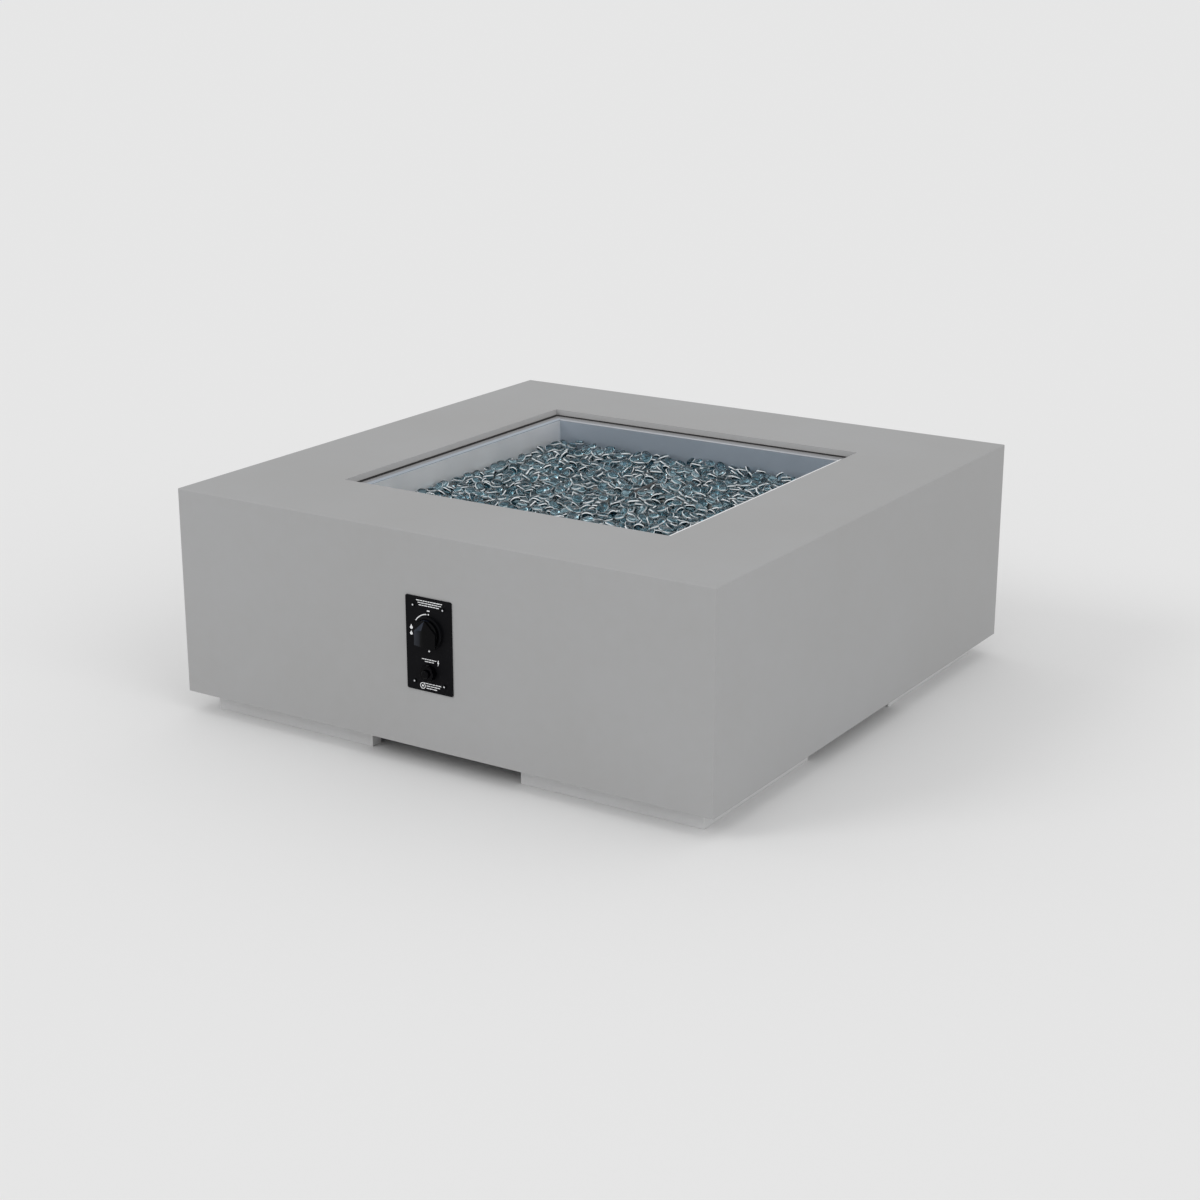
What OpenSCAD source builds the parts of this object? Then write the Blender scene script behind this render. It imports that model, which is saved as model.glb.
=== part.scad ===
// Square gas fire table: a hollow concrete shell on four corner feet, with a drop-in steel pan,
// an H-shaped burner under a bed of glass gems, and a control panel with a gas knob and an
// igniter button on the front wall.
// Millimetres. Z is up and the front faces -Y. The origin is on the floor, at the middle of the
// whole footprint, the knob that stands out at the front included.

/* [Shell] */
// Width and depth of the square shell
table_w = 1067; // [1020:1:1150]
// Height of the table top above the floor
table_h = 406; // [400:1:430]
// Height of the shell's lower edge above the floor
foot_drop = 38; // [25:1:50]
// Thickness of the side walls
wall_t = 37; // [34:1:42]
// Thickness of the table top
top_t = 40; // [30:1:48]
// Radius of the four upright corners
corner_r = 3; // [1:0.5:8]
// Width of the chamfer along the upper outer edges
arris = 1.5; // [0.5:0.5:3]

/* [Corner feet] */
// Length of each arm of an L-shaped foot
foot_arm = 344; // [260:1:400]
// Thickness of a foot
foot_t = 23; // [18:1:30]
// Height of a foot above the shell's lower edge
foot_rise = 90; // [60:1:130]

/* [Fire pan] */
// Width of the square recess in the table top
recess_w = 662; // [655:1:690]
// Inside width of the pan
pan_w = 610; // [590:1:616]
// Depth of the pan floor below its flange
pan_depth = 80; // [76:1:95]
// Thickness of the pan's sheet steel
pan_t = 2; // [1:0.5:3]
// Depth of the flange below the table top
flange_drop = 11.5; // [8:0.5:16]
// Gap round the flange, and round the pan in its opening
pan_gap = 4; // [2:0.5:6]

/* [Burner] */
// Length of each of the two burner legs
leg_l = 420; // [360:1:500]
// Distance between the two burner legs
leg_span = 140; // [130:1:240]
// Outer diameter of a burner leg
leg_d = 19; // [17:0.5:20]
// Outer diameter of the cross tube between the legs
cross_d = 16; // [12:0.5:16.5]
// Wall of the burner tubes
burner_wall = 1.5; // [1:0.25:2]
// Clearance from the pan floor up to the burner legs
burner_stand = 8; // [6:0.5:10]
// Diameter of a flame port
port_d = 2; // [1:0.25:3]
// Distance from one flame port to the next
port_pitch = 38; // [30:1:60]

/* [Fire glass] */
// Depth of the packed glass over the pan floor
glass_h = 30; // [29:0.5:34]
// Width of a glass gem
gem_w = 22; // [14:0.5:24]
// Thickness of a glass gem
gem_t = 12; // [8:0.5:14]
// Distance between gems along each row of the top layer
gem_pitch = 25; // [25:0.5:32]

/* [Control panel] */
// Width of the panel
panel_w = 92; // [86:1:110]
// Height of the panel
panel_h = 160; // [150:1:180]
// Thickness of the panel
panel_t = 2; // [1.5:0.5:3]
// Distance of the panel to the right of the table's middle
panel_x = 2; // [-100:1:100]
// Height of the panel's middle above the floor
panel_z = 220; // [205:1:235]
// Distance between the panel screws across the panel
screw_dx = 60; // [58:1:70]
// Distance between the panel screws up the panel
screw_dz = 130; // [126:1:138]
// Height of the knob's axis above the panel's middle
knob_up = 21.5; // [16:0.5:26]
// Distance of the button's axis below the panel's middle
button_down = 46; // [40:0.5:48]

/* [Knob and valve] */
// Diameter of the gas knob
knob_d = 46; // [40:1:50]
// Height of the knob's front above the panel
knob_h = 20; // [18:0.5:26]
// Travel of the knob when it is pushed in
knob_travel = 3; // [2:0.5:4]
// Diameter of the valve stem
stem_d = 8; // [6:0.5:9]
// Width of the valve's block
valve_w = 44; // [38:1:50]

/* [Igniter] */
// Diameter of the igniter's barrel
barrel_d = 20.6; // [19:0.2:23]
// Length of the barrel behind the panel
barrel_l = 70; // [68:1:90]
// Diameter of the ring nut in front of the panel
ring_d = 28; // [26:0.5:32]
// Travel of the button
button_travel = 4; // [2:0.5:5]

/* [Hidden] */
$fn = 64;

// Overrun of every cut past the face it opens
cut = 1;
// Clearance of a fixed piece in its hole
fit = 0.15;
// Clearance of a turning stem in its bore
run_fit = 0.08;
// Clearance between moving pieces, and round the burner in the glass
free_gap = 0.4;
// Gap between faces that press on each other
face_gap = 0.1;

// Planes of the shell
reach = panel_t + knob_h;
mid_y = reach / 2;
front_y = mid_y - table_w / 2;
inner_half = table_w / 2 - wall_t;
underside_z = table_h - top_t;

// Planes of the pan
flange_z = table_h - flange_drop;
floor_z = flange_z - pan_depth;
below_z = floor_z - pan_t;
flange_w = recess_w - 2 * pan_gap;
pan_out = pan_w + 2 * pan_t;
well_w = pan_out + 2 * pan_gap;
glass_z = floor_z + glass_h;
drain_d = 6;
drain_inset = 45;

// Screws of the feet: hexagon heads, along each arm at these shares of its length
foot_screw_shares = [0.3, 0.78];
foot_screw_rise_share = 0.55;
foot_screw_d = 8;
foot_screw_head = 13;
foot_screw_head_h = 5.5;
foot_screw_bite = 20;

// Burner hub, nipple and the train below the pan
hub_d = 34;
hub_h = 24;
cap_t = 2;
nipple_d = 21.3;
nipple_bore = 15;
nipple_up = 18;
nipple_down = 30;
gasket_t = 2;
gasket_d = 40;
pan_nut_af = 34;
pan_nut_h = 8;
mixer_d = 29;
mixer_l = 54;
mixer_top = 14;
mixer_floor = 6;
window_w = 11;
window_h = 17;
orifice_d = 2.4;
orifice_spigot_d = 12;

// Flare fittings
hex_af = 19;
hex_h = 9;
flare_d = 15.88;
flare_l = 14;
flare_bore = 8;
elbow_w = 18;
elbow_hex_h = 8;
spigot_l = 9;
spigot_d = 14;
nut_af = 22;
nut_l = 20;
nut_grip = 12;

// Corrugated hose: its bore, valleys and crests, and how far its curve is drawn out
hose_bore = 10;
hose_end_d = 13;
hose_crest_d = 16;
hose_ribs = 86;
hose_sides = 10;
hose_straight = 16;
hose_run_out = 210;
hose_rise = 150;

// Gas valve
valve_flange_d = 44;
valve_flange_t = 6;
neck_d = 30;
neck_l = 42;
block_d = 36;
block_h = 38;
boss_d = 22;
boss_l = 13;
magnet_d = 18;
magnet_l = 22;
magnet_nut_af = 12;
magnet_nut_l = 8;
valve_hole_d = 50;
valve_screw_x = 17;
valve_screw_d = 4;
valve_screw_head = 8;
valve_screw_l = 5;
stem_depth = 34;
stem_flat = 1;
knob_cap = 5;
collar_d = 11;
collar_h = 2.2;
collar_depth = 0.7;
pocket_d = 14;
pocket_l = 16;
cup_t = 1.5;
spring_wire = 1.2;
spring_turns = 6;
port_depth = neck_l + block_d / 2 - cut;
port_end = valve_w / 2 + boss_l;

// Knob and bezel
bezel_base = 1.2;
bezel_h = 5.5;
bezel_rim = 4;
bezel_gap = 1;
bezel_hole_d = 18;
knob_back = panel_t + bezel_base + knob_travel + free_gap;
skirt_h = 5;
grip_edge = 0.8;
grip_foot_h = 2.4;
grip_foot_share = [[-0.92, -0.9], [0.92, -0.9], [0.92, 0.15], [0, 1], [-0.92, 0.15]];
grip_share = [[-0.22, -0.8], [0.22, -0.8], [0.22, 0.03], [0, 0.4], [-0.22, 0.03]];

// Control panel fixings
panel_corner = 3;
panel_screw_d = 4;
panel_screw_head = 7;
panel_screw_head_h = 2.2;
panel_screw_l = 24;
plug_d = 7;
plug_l = 27;

// Igniter
barrel_front = 7;
barrel_flange_d = 27;
barrel_flange_t = 3;
barrel_wall = 2;
barrel_end = 4;
igniter_hole_d = 30;
ring_h = 10;
ring_lip = 2.7;
ring_scallops = 8;
scallop_d = 6;
button_shoulder_d = 16;
button_d = 14;
button_proud = 0.9;
button_in = 2;
button_chamfer = 1.5;
battery_d = 14.3;
battery_l = 50.5;
battery_nub_d = 5.4;
battery_nub_l = 1.5;
igniter_wire = 1;
igniter_coil_share = 0.7;
igniter_turns = 5;
tab_w = 6.3;
tab_t = 0.8;
tab_l = 8;

// Spark guard over one burner leg, with the electrode and thermocouple under it
guard_x = 35;
guard_y = leg_span / 2;
guard_l = 71;
guard_w = 46;
guard_h = 43;
guard_t = 1.5;
guard_foot = 9;
probe_dy = 21;
insulator_d = 8;
insulator_collar_d = 12;
insulator_collar_h = 4;
insulator_up = 16;
insulator_down = 22;
rod_d = 2.4;
rod_up = 30;
rod_down = 30;
probe_d = 6;
probe_up = 28;
probe_thread_d = 4.6;
probe_down = 18;
bracket_w = 26;
bracket_l = 84;
bracket_t = 2;
bracket_screw_y = 31;
bracket_screw_d = 4;
bracket_screw_head = 6.4;
bracket_screw_head_h = 2.4;
bracket_screw_l = 12;

// Leads
lead_d = 3;
lead_sides = 8;
lead_steps = 36;
lead_run_out = 190;
lead_rise = 150;
lead_dip = 70;

// Colours
concrete = [0.63, 0.63, 0.64];
steel = [0.72, 0.73, 0.75];
dark_steel = [0.30, 0.30, 0.32];
zinc = [0.66, 0.67, 0.68];
brass = [0.78, 0.62, 0.32];
black = [0.08, 0.08, 0.09];
ceramic = [0.93, 0.92, 0.88];
glass = [0.36, 0.52, 0.58, 0.6];

// Frames. On the panel, X is to the right, Y is up and Z points out of the shell's front face.
module at_middle()
    translate([0, mid_y, 0])
        children();

module at_panel()
    translate([panel_x, front_y, panel_z])
        rotate([90, 0, 0])
            children();

module at_knob()
    at_panel()
        translate([0, knob_up, 0])
            children();

module at_button()
    at_panel()
        translate([0, -button_down, 0])
            children();

// Under the pan, Z points down from the pan's underside.
module under_pan()
    translate([0, mid_y, below_z])
        rotate([180, 0, 0])
            children();

module at_guard()
    translate([guard_x, mid_y + guard_y, floor_z])
        children();

// Common shapes
module rod(d, from, to)
    translate([0, 0, from])
        cylinder(d = d, h = to - from);

module hex(af, from, to)
    translate([0, 0, from])
        cylinder(r = af / 2 / cos(30), h = to - from, $fn = 6);

module pipe(d, bore, from, to)
    difference() {
        rod(d, from, to);
        rod(bore, from - cut, to + cut);
    }

module square_block(w, from, to)
    translate([-w / 2, -w / 2, from])
        cube([w, w, to - from]);

module rounded_rect(w, h, r) {
    square([w - 2 * r, h], center = true);
    square([w, h - 2 * r], center = true);
    for (sx = [-1, 1], sy = [-1, 1])
        translate([sx * (w / 2 - r), sy * (h / 2 - r)])
            circle(r = r);
}

module both_sides()
    for (side = [0, 1])
        mirror([side, 0, 0])
            children();

// Rings swept along a path, as one closed mesh. Each ring lies square to the path's direction,
// and turns about a fixed side vector, which the path never runs along.
function unit(v) = v / norm(v);

function ring(centre, along, side, r, n) =
    let (u = unit(cross(along, side)), v = cross(unit(along), u))
    [for (k = [0:n - 1]) centre + r * cos(360 * k / n) * u + r * sin(360 * k / n) * v];

function flat(lists) = [for (list = lists) each list];

function skin(rows, n, first, inside) = [
    for (i = [0:rows - 2], k = [0:n - 1])
        let (
            a = first + i * n + k,
            b = first + i * n + (k + 1) % n,
            c = a + n,
            d = b + n
        )
        each inside ? [[a, d, c], [a, b, d]] : [[a, c, d], [a, d, b]]
];

function rim(outer, inner, n, last) = [
    for (k = [0:n - 1])
        let (a = outer + k, b = outer + (k + 1) % n, c = inner + k, d = inner + (k + 1) % n)
        each last ? [[a, d, b], [a, c, d]] : [[a, b, d], [a, d, c]]
];

function fan(first, n, last) = [
    for (k = [1:n - 2])
        last ? [first, first + k + 1, first + k] : [first, first + k, first + k + 1]
];

function curve(p, t) =
    pow(1 - t, 3) * p[0] + 3 * pow(1 - t, 2) * t * p[1] + 3 * (1 - t) * t * t * p[2] + pow(t, 3) * p[3];

function heading(p, t) =
    pow(1 - t, 2) * (p[1] - p[0]) + 2 * (1 - t) * t * (p[2] - p[1]) + t * t * (p[3] - p[2]);

module wire(route, d, steps, n) {
    rows = steps + 1;
    points = flat([
        for (i = [0:steps])
            ring(curve(route, i / steps), heading(route, i / steps), [1, 0, 0], d / 2, n)
    ]);
    polyhedron(
        points = points,
        faces = concat(skin(rows, n, 0, false), fan(0, n, false), fan(steps * n, n, true))
    );
}

// A coil spring along Z: its turns start at one end face and stop at the other.
module coil(d, wire_d, length, turns, steps = 8, n = 6) {
    rows = turns * steps + 1;
    r = d / 2;
    rise = length - wire_d;
    points = flat([
        for (i = [0:rows - 1])
            let (
                a = 360 * i / steps,
                centre = [r * cos(a), r * sin(a), wire_d / 2 + rise * i / (rows - 1)],
                out = [cos(a), sin(a), 0],
                pitch_angle = atan2(rise / turns, 2 * PI * r),
                along = [-sin(a) * cos(pitch_angle), cos(a) * cos(pitch_angle), sin(pitch_angle)]
            )
            ring(centre, along, out, wire_d / 2, n)
    ]);
    polyhedron(
        points = points,
        faces = concat(skin(rows, n, 0, false), fan(0, n, false), fan((rows - 1) * n, n, true))
    );
}

// Concrete shell: four walls and the top, open at the bottom, cast in one piece.
module body_shell()
    color(concrete)
        difference() {
            at_middle()
                translate([0, 0, foot_drop])
                    linear_extrude(height = table_h - foot_drop)
                        rounded_rect(table_w, table_w, corner_r);
            at_middle() {
                square_block(2 * inner_half, foot_drop - cut, underside_z);
                square_block(well_w, underside_z - cut, table_h + cut);
                square_block(recess_w, flange_z - pan_t, table_h + cut);
                top_chamfers();
            }
            at_knob()
                rod(valve_hole_d, -wall_t - cut, cut);
            at_button()
                rod(igniter_hole_d, -wall_t - cut, cut);
            panel_screw_places()
                rod(plug_d + 2 * fit, -plug_l, cut);
            foot_screw_places()
                rod(foot_screw_d + 2 * fit, 0, foot_t + foot_screw_bite);
        }

module top_chamfers()
    for (turn = [0:90:270])
        rotate([0, 0, turn])
            translate([-table_w / 2 - cut, -table_w / 2, table_h - arris])
                rotate([-45, 0, 0])
                    translate([0, -table_h, 0])
                        cube([table_w + 2 * cut, table_h, table_h]);

// Feet: L-shaped corner pieces, screwed inside the walls and standing on the floor.
module foot(sx, sy)
    color(concrete)
        difference() {
            at_middle()
                mirror([sx < 0 ? 1 : 0, 0, 0])
                    mirror([0, sy < 0 ? 1 : 0, 0])
                        difference() {
                            translate([inner_half - foot_arm, inner_half - foot_arm, 0])
                                cube([foot_arm, foot_arm, foot_drop + foot_rise]);
                            translate([inner_half - foot_arm - cut, inner_half - foot_arm - cut, -cut])
                                cube([
                                    foot_arm - foot_t + cut,
                                    foot_arm - foot_t + cut,
                                    foot_drop + foot_rise + 2 * cut
                                ]);
                        }
            foot_screw_places()
                rod(foot_screw_d + 2 * fit, -cut, foot_t + cut);
        }

// Two screws along each arm of each foot. Z points outwards from the foot's inner face.
module foot_screw_places()
    at_middle()
        for (sx = [0, 1], sy = [0, 1], swap = [0, 1], share = foot_screw_shares)
            mirror([sx, 0, 0])
                mirror([0, sy, 0])
                    mirror([swap, -swap, 0])
                        translate([
                            inner_half - share * foot_arm,
                            inner_half - foot_t,
                            foot_drop + foot_screw_rise_share * foot_rise
                        ])
                            rotate([-90, 0, 0])
                                children();

module foot_screws()
    color(zinc)
        foot_screw_places() {
            hex(foot_screw_head, -foot_screw_head_h, 0);
            rod(foot_screw_d, 0, foot_t + foot_screw_bite);
        }

// Pan: a floor and four angles, tacked together. The angles meet in mitres at the corners, and
// their flange lies on the ledge round the opening.
module fire_pan()
    color(steel) {
        pan_floor();
        at_middle()
            for (turn = [0:90:270])
                rotate([0, 0, turn]) {
                    mitred(pan_w, pan_out, below_z, flange_z);
                    mitred(pan_w, flange_w, flange_z - pan_t, flange_z);
                }
    }

module pan_floor()
    difference() {
        at_middle() {
            difference() {
                square_block(pan_w - 2 * face_gap, below_z, floor_z);
                rod(nipple_d + 2 * fit, below_z - cut, floor_z + cut);
                for (sx = [-1, 1], sy = [-1, 1])
                    translate([sx * (pan_w / 2 - drain_inset), sy * (pan_w / 2 - drain_inset), 0])
                        rod(drain_d, below_z - cut, floor_z + cut);
            }
        }
        at_guard() {
            probe_holes(-pan_t - cut, cut);
            bracket_screw_places()
                rod(bracket_screw_d + 2 * fit, -pan_t - cut, cut);
        }
    }

// One side of a square frame, from the inner width to the outer width, with a seam at each end.
module mitred(inner, outer, from, to)
    translate([0, 0, from])
        linear_extrude(height = to - from)
            polygon([
                [face_gap - inner / 2, inner / 2],
                [inner / 2 - face_gap, inner / 2],
                [outer / 2 - face_gap, outer / 2],
                [face_gap - outer / 2, outer / 2]
            ]);

// Burner: two legs joined by a cross tube with the inlet hub in its middle.
leg_z = burner_stand + leg_d / 2;

module leg_places()
    for (side = [-1, 1])
        translate([0, side * leg_span / 2, leg_z])
            rotate([0, 90, 0])
                children();

module burner() {
    ports = floor((leg_l / 2 - 2 * cap_t - leg_d) / port_pitch);
    color(dark_steel)
        translate([0, mid_y, floor_z])
            difference() {
                union() {
                    leg_places()
                        rod(leg_d, -leg_l / 2, leg_l / 2);
                    translate([0, 0, leg_z])
                        rotate([90, 0, 0])
                            rod(cross_d, -leg_span / 2, leg_span / 2);
                    rod(hub_d, leg_z + leg_d / 2 - hub_h, leg_z + leg_d / 2);
                }
                leg_places()
                    rod(leg_d - 2 * burner_wall, cap_t - leg_l / 2, leg_l / 2 - cap_t);
                translate([0, 0, leg_z])
                    rotate([90, 0, 0])
                        rod(cross_d - 2 * burner_wall, -leg_span / 2, leg_span / 2);
                rod(nipple_d + 2 * fit, leg_z + leg_d / 2 - hub_h - cut, nipple_up + face_gap);
                leg_places()
                    for (i = [-ports:ports])
                        translate([0, 0, i * port_pitch])
                            rotate([0, -90, 0])
                                rod(port_d, 0, leg_d);
            }
}

module burner_nipple()
    color(brass)
        under_pan()
            pipe(nipple_d, nipple_bore, -pan_t - nipple_up, nipple_down);

module pan_gasket()
    color(black)
        under_pan()
            pipe(gasket_d, nipple_d + 2 * fit, 0, gasket_t);

module pan_nut()
    color(brass)
        under_pan()
            difference() {
                hex(pan_nut_af, gasket_t, gasket_t + pan_nut_h);
                rod(nipple_d + 2 * fit, 0, gasket_t + pan_nut_h + cut);
            }

// Air mixer: a tube with four windows, where air joins the gas jet.
module air_mixer()
    color(zinc)
        under_pan()
            translate([0, 0, mixer_top])
                difference() {
                    rod(mixer_d, 0, mixer_l);
                    rod(nipple_d + 2 * fit, -cut, mixer_l - mixer_floor);
                    rod(orifice_spigot_d + 2 * fit, 0, mixer_l + cut);
                    for (turn = [0, 90])
                        rotate([0, 0, turn])
                            translate([
                                -window_w / 2,
                                -mixer_d / 2 - cut,
                                mixer_l - mixer_floor - window_h - mixer_floor
                            ])
                                cube([window_w, mixer_d + 2 * cut, window_h]);
                }

// Flare fitting: a male cone on a threaded end, drawn from its hexagon outwards along Z.
module flare_end() {
    rod(flare_d, 0, flare_l - (flare_d - flare_bore) / 4);
    translate([0, 0, flare_l - (flare_d - flare_bore) / 4])
        cylinder(
            d1 = flare_d,
            d2 = (flare_d + flare_bore) / 2,
            h = (flare_d - flare_bore) / 4
        );
}

mixer_end = mixer_top + mixer_l;

module gas_orifice()
    color(brass)
        under_pan()
            translate([0, 0, mixer_end])
                difference() {
                    union() {
                        rod(orifice_spigot_d, -mixer_floor, hex_h);
                        hex(hex_af, 0, hex_h);
                        translate([0, 0, hex_h])
                            flare_end();
                    }
                    rod(flare_bore, 0, hex_h + flare_l + cut);
                    rod(orifice_d, -mixer_floor - cut, cut);
                }

// Elbow: Z points out of the valve's port and the free end runs along X.
elbow_turn = elbow_hex_h + elbow_w / 2;
elbow_end = elbow_w / 2 + flare_l;

module elbow()
    color(brass)
        difference() {
            union() {
                rod(spigot_d, -spigot_l, elbow_hex_h);
                hex(hex_af, 0, elbow_hex_h);
                translate([-elbow_w / 2, -elbow_w / 2, elbow_hex_h])
                    cube([elbow_w, elbow_w, elbow_w]);
                translate([elbow_w / 2, 0, elbow_turn])
                    rotate([0, 90, 0])
                        flare_end();
            }
            rod(flare_bore, -spigot_l - cut, elbow_turn);
            translate([0, 0, elbow_turn])
                rotate([0, 90, 0])
                    rod(flare_bore, 0, elbow_end + cut);
        }

module outlet_elbow()
    at_knob()
        translate([-port_end, 0, -port_depth])
            rotate([0, -90, 0])
                rotate([0, 0, 180])
                    elbow();

module inlet_elbow()
    at_knob()
        translate([port_end, 0, -port_depth])
            rotate([0, 90, 0])
                rotate([0, 0, -90])
                    elbow();

// Hose: leaves the elbow towards the back, sinks in one bend and rises into the orifice.
hose_start = [
    panel_x - port_end - elbow_turn,
    front_y + port_depth + elbow_end,
    panel_z + knob_up
];
hose_stop = [0, mid_y, below_z - mixer_end - hex_h - flare_l];
hose_route = [
    hose_start + [0, hose_straight, 0],
    hose_start + [0, hose_straight + hose_run_out, 0],
    hose_stop - [0, 0, hose_straight + hose_rise],
    hose_stop - [0, 0, hose_straight]
];

module burner_hose() {
    n = hose_sides;
    rows = 2 * hose_ribs + 3;
    core_steps = 40;
    core_rows = core_steps + 3;
    side = [1, 0, 0];
    valley = hose_end_d / 2;
    crest = hose_crest_d / 2;
    outer = concat(
        [ring(hose_start, [0, 1, 0], side, valley, n)],
        [
            for (i = [0:2 * hose_ribs])
                let (t = i / (2 * hose_ribs))
                ring(curve(hose_route, t), heading(hose_route, t), side, i % 2 == 0 ? valley : crest, n)
        ],
        [ring(hose_stop, [0, 0, 1], side, valley, n)]
    );
    inner = concat(
        [ring(hose_start, [0, 1, 0], side, hose_bore / 2, n)],
        [
            for (i = [0:core_steps])
                let (t = i / core_steps)
                ring(curve(hose_route, t), heading(hose_route, t), side, hose_bore / 2, n)
        ],
        [ring(hose_stop, [0, 0, 1], side, hose_bore / 2, n)]
    );
    first_inner = rows * n;
    color(steel)
        polyhedron(
            points = concat(flat(outer), flat(inner)),
            faces = concat(
                skin(rows, n, 0, false),
                skin(core_rows, n, first_inner, true),
                rim(0, first_inner, n, false),
                rim((rows - 1) * n, first_inner + (core_rows - 1) * n, n, true)
            )
        );
}

// Flare nut: Z points from the fitting towards the hose, and zero is the fitting's end face.
module flare_nut()
    difference() {
        hex(nut_af, -nut_grip, nut_l - nut_grip);
        rod(flare_d + 2 * fit, -nut_grip - cut, face_gap);
        rod(hose_end_d + 2 * free_gap, 0, nut_l - nut_grip + cut);
    }

module hose_nuts()
    color(brass) {
        translate(hose_start)
            rotate([-90, 0, 0])
                flare_nut();
        translate(hose_stop)
            rotate([180, 0, 0])
                flare_nut();
    }

// Gas valve: its flange sits behind the panel, its ports open to the left and the right.
module gas_valve()
    color(zinc)
        at_knob()
            difference() {
                union() {
                    rod(valve_flange_d, -valve_flange_t, 0);
                    rod(neck_d, -neck_l, 0);
                    translate([-valve_w / 2, -block_h / 2, -neck_l - block_d + cut])
                        cube([valve_w, block_h, block_d]);
                    both_sides()
                        translate([0, 0, -port_depth])
                            rotate([0, 90, 0])
                                rod(boss_d, 0, port_end);
                    rod(magnet_d, -magnet_end, -neck_l);
                    hex(magnet_nut_af, -magnet_end - magnet_nut_l, -magnet_end);
                }
                rod(pocket_d, -pocket_l, cut);
                rod(stem_d + 2 * run_fit, -stem_depth - knob_travel - free_gap, 0);
                both_sides()
                    translate([0, 0, -port_depth])
                        rotate([0, 90, 0]) {
                            rod(spigot_d + 2 * fit, port_end - spigot_l, port_end + cut);
                            rod(flare_bore, 0, port_end);
                        }
                both_sides()
                    translate([valve_screw_x, 0, 0])
                        rod(valve_screw_d + 2 * fit, -valve_flange_t - cut, cut);
            }

magnet_end = neck_l + block_d + magnet_l;

// Countersunk screws through the panel into the valve's flange, covered by the bezel.
module valve_screws()
    color(zinc)
        at_knob()
            both_sides()
                translate([valve_screw_x, 0, 0]) {
                    rod(valve_screw_d, -valve_screw_l, panel_t);
                    cylinder(d1 = valve_screw_d, d2 = valve_screw_head, h = panel_t);
                }

// Stem: round in the valve, with a collar over the spring cup and a flat inside the knob.
stem_front = panel_t + knob_h - knob_cap;

module stem_section(d)
    difference() {
        circle(d = d);
        translate([-d, d / 2 - stem_flat])
            square([2 * d, d]);
    }

module valve_stem()
    color(steel)
        at_knob() {
            rod(stem_d, -stem_depth, knob_back);
            translate([0, 0, knob_back])
                linear_extrude(height = stem_front - knob_back)
                    stem_section(stem_d);
            rod(collar_d, -collar_depth, collar_h - collar_depth);
        }

module spring_cup()
    color(zinc)
        at_knob()
            pipe(
                pocket_d - 2 * free_gap,
                stem_d + 2 * free_gap,
                -collar_depth - face_gap - cup_t,
                -collar_depth - face_gap
            );

module stem_spring()
    color(steel)
        at_knob()
            translate([0, 0, -pocket_l])
                coil(
                    (pocket_d + stem_d) / 2,
                    spring_wire,
                    pocket_l - collar_depth - face_gap - cup_t,
                    spring_turns
                );

// Knob: a round skirt under a grip shaped like an arrow, which points up when the gas is off.
// The grip's sides slope up to a narrow ridge.
module control_knob()
    color(black)
        at_knob()
            difference() {
                union() {
                    rod(knob_d, knob_back, knob_back + skirt_h);
                    hull() {
                        translate([0, 0, knob_back + skirt_h])
                            linear_extrude(height = grip_foot_h)
                                polygon(knob_d / 2 * grip_foot_share);
                        translate([0, 0, panel_t + knob_h - grip_edge])
                            linear_extrude(height = grip_edge)
                                polygon(knob_d / 2 * grip_share);
                    }
                }
                translate([0, 0, knob_back - cut])
                    linear_extrude(height = stem_front + face_gap - knob_back + cut)
                        stem_section(stem_d + 2 * run_fit);
            }

// Bezel: a shallow cup round the knob's skirt.
module knob_bezel()
    color(black)
        at_knob()
            difference() {
                rod(knob_d + 2 * bezel_gap + 2 * bezel_rim, panel_t, panel_t + bezel_h);
                rod(knob_d + 2 * bezel_gap, panel_t + bezel_base, panel_t + bezel_h + cut);
                rod(bezel_hole_d, panel_t - cut, panel_t + bezel_h);
            }

module panel_screw_places()
    at_panel()
        for (sx = [-1, 1], sy = [-1, 1])
            translate([sx * screw_dx / 2, sy * screw_dz / 2, 0])
                children();

module control_panel()
    color(black)
        difference() {
            at_panel()
                linear_extrude(height = panel_t)
                    rounded_rect(panel_w, panel_h, panel_corner);
            panel_screw_places()
                rod(panel_screw_d + 2 * fit, -cut, panel_t + cut);
            at_knob() {
                rod(pocket_d + 2 * free_gap, -cut, panel_t + cut);
                both_sides()
                    translate([valve_screw_x, 0, 0]) {
                        rod(valve_screw_d + 2 * fit, -cut, panel_t);
                        cylinder(
                            d1 = valve_screw_d + 2 * fit,
                            d2 = valve_screw_head + 2 * fit,
                            h = panel_t
                        );
                    }
            }
            at_button()
                rod(barrel_d + 2 * fit, -cut, panel_t + cut);
        }

// Panel screws: low round heads, in plugs set into the concrete.
module panel_screws()
    color(zinc)
        panel_screw_places() {
            rod(panel_screw_d, -panel_screw_l, panel_t);
            translate([0, 0, panel_t])
                cylinder(
                    d1 = panel_screw_head,
                    d2 = (panel_screw_head + panel_screw_d) / 2,
                    h = panel_screw_head_h
                );
        }

module wall_plugs()
    color(zinc)
        panel_screw_places()
            pipe(plug_d, panel_screw_d + 2 * fit, -plug_l, 0);

// Igniter: a barrel through the panel, held by a scalloped ring, with a battery behind the button.
button_bore = barrel_d - 2 * barrel_wall;
barrel_mouth = panel_t + barrel_front;

module igniter_barrel()
    color(black)
        at_button()
            difference() {
                union() {
                    rod(barrel_d, -barrel_l, barrel_mouth);
                    rod(barrel_flange_d, -barrel_flange_t, 0);
                    both_sides()
                        translate([tab_w / 2, -tab_w / 2, -barrel_l - tab_l])
                            cube([tab_t, tab_w, tab_l + cut]);
                }
                rod(button_bore, barrel_end - barrel_l, barrel_mouth + cut);
            }

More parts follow.
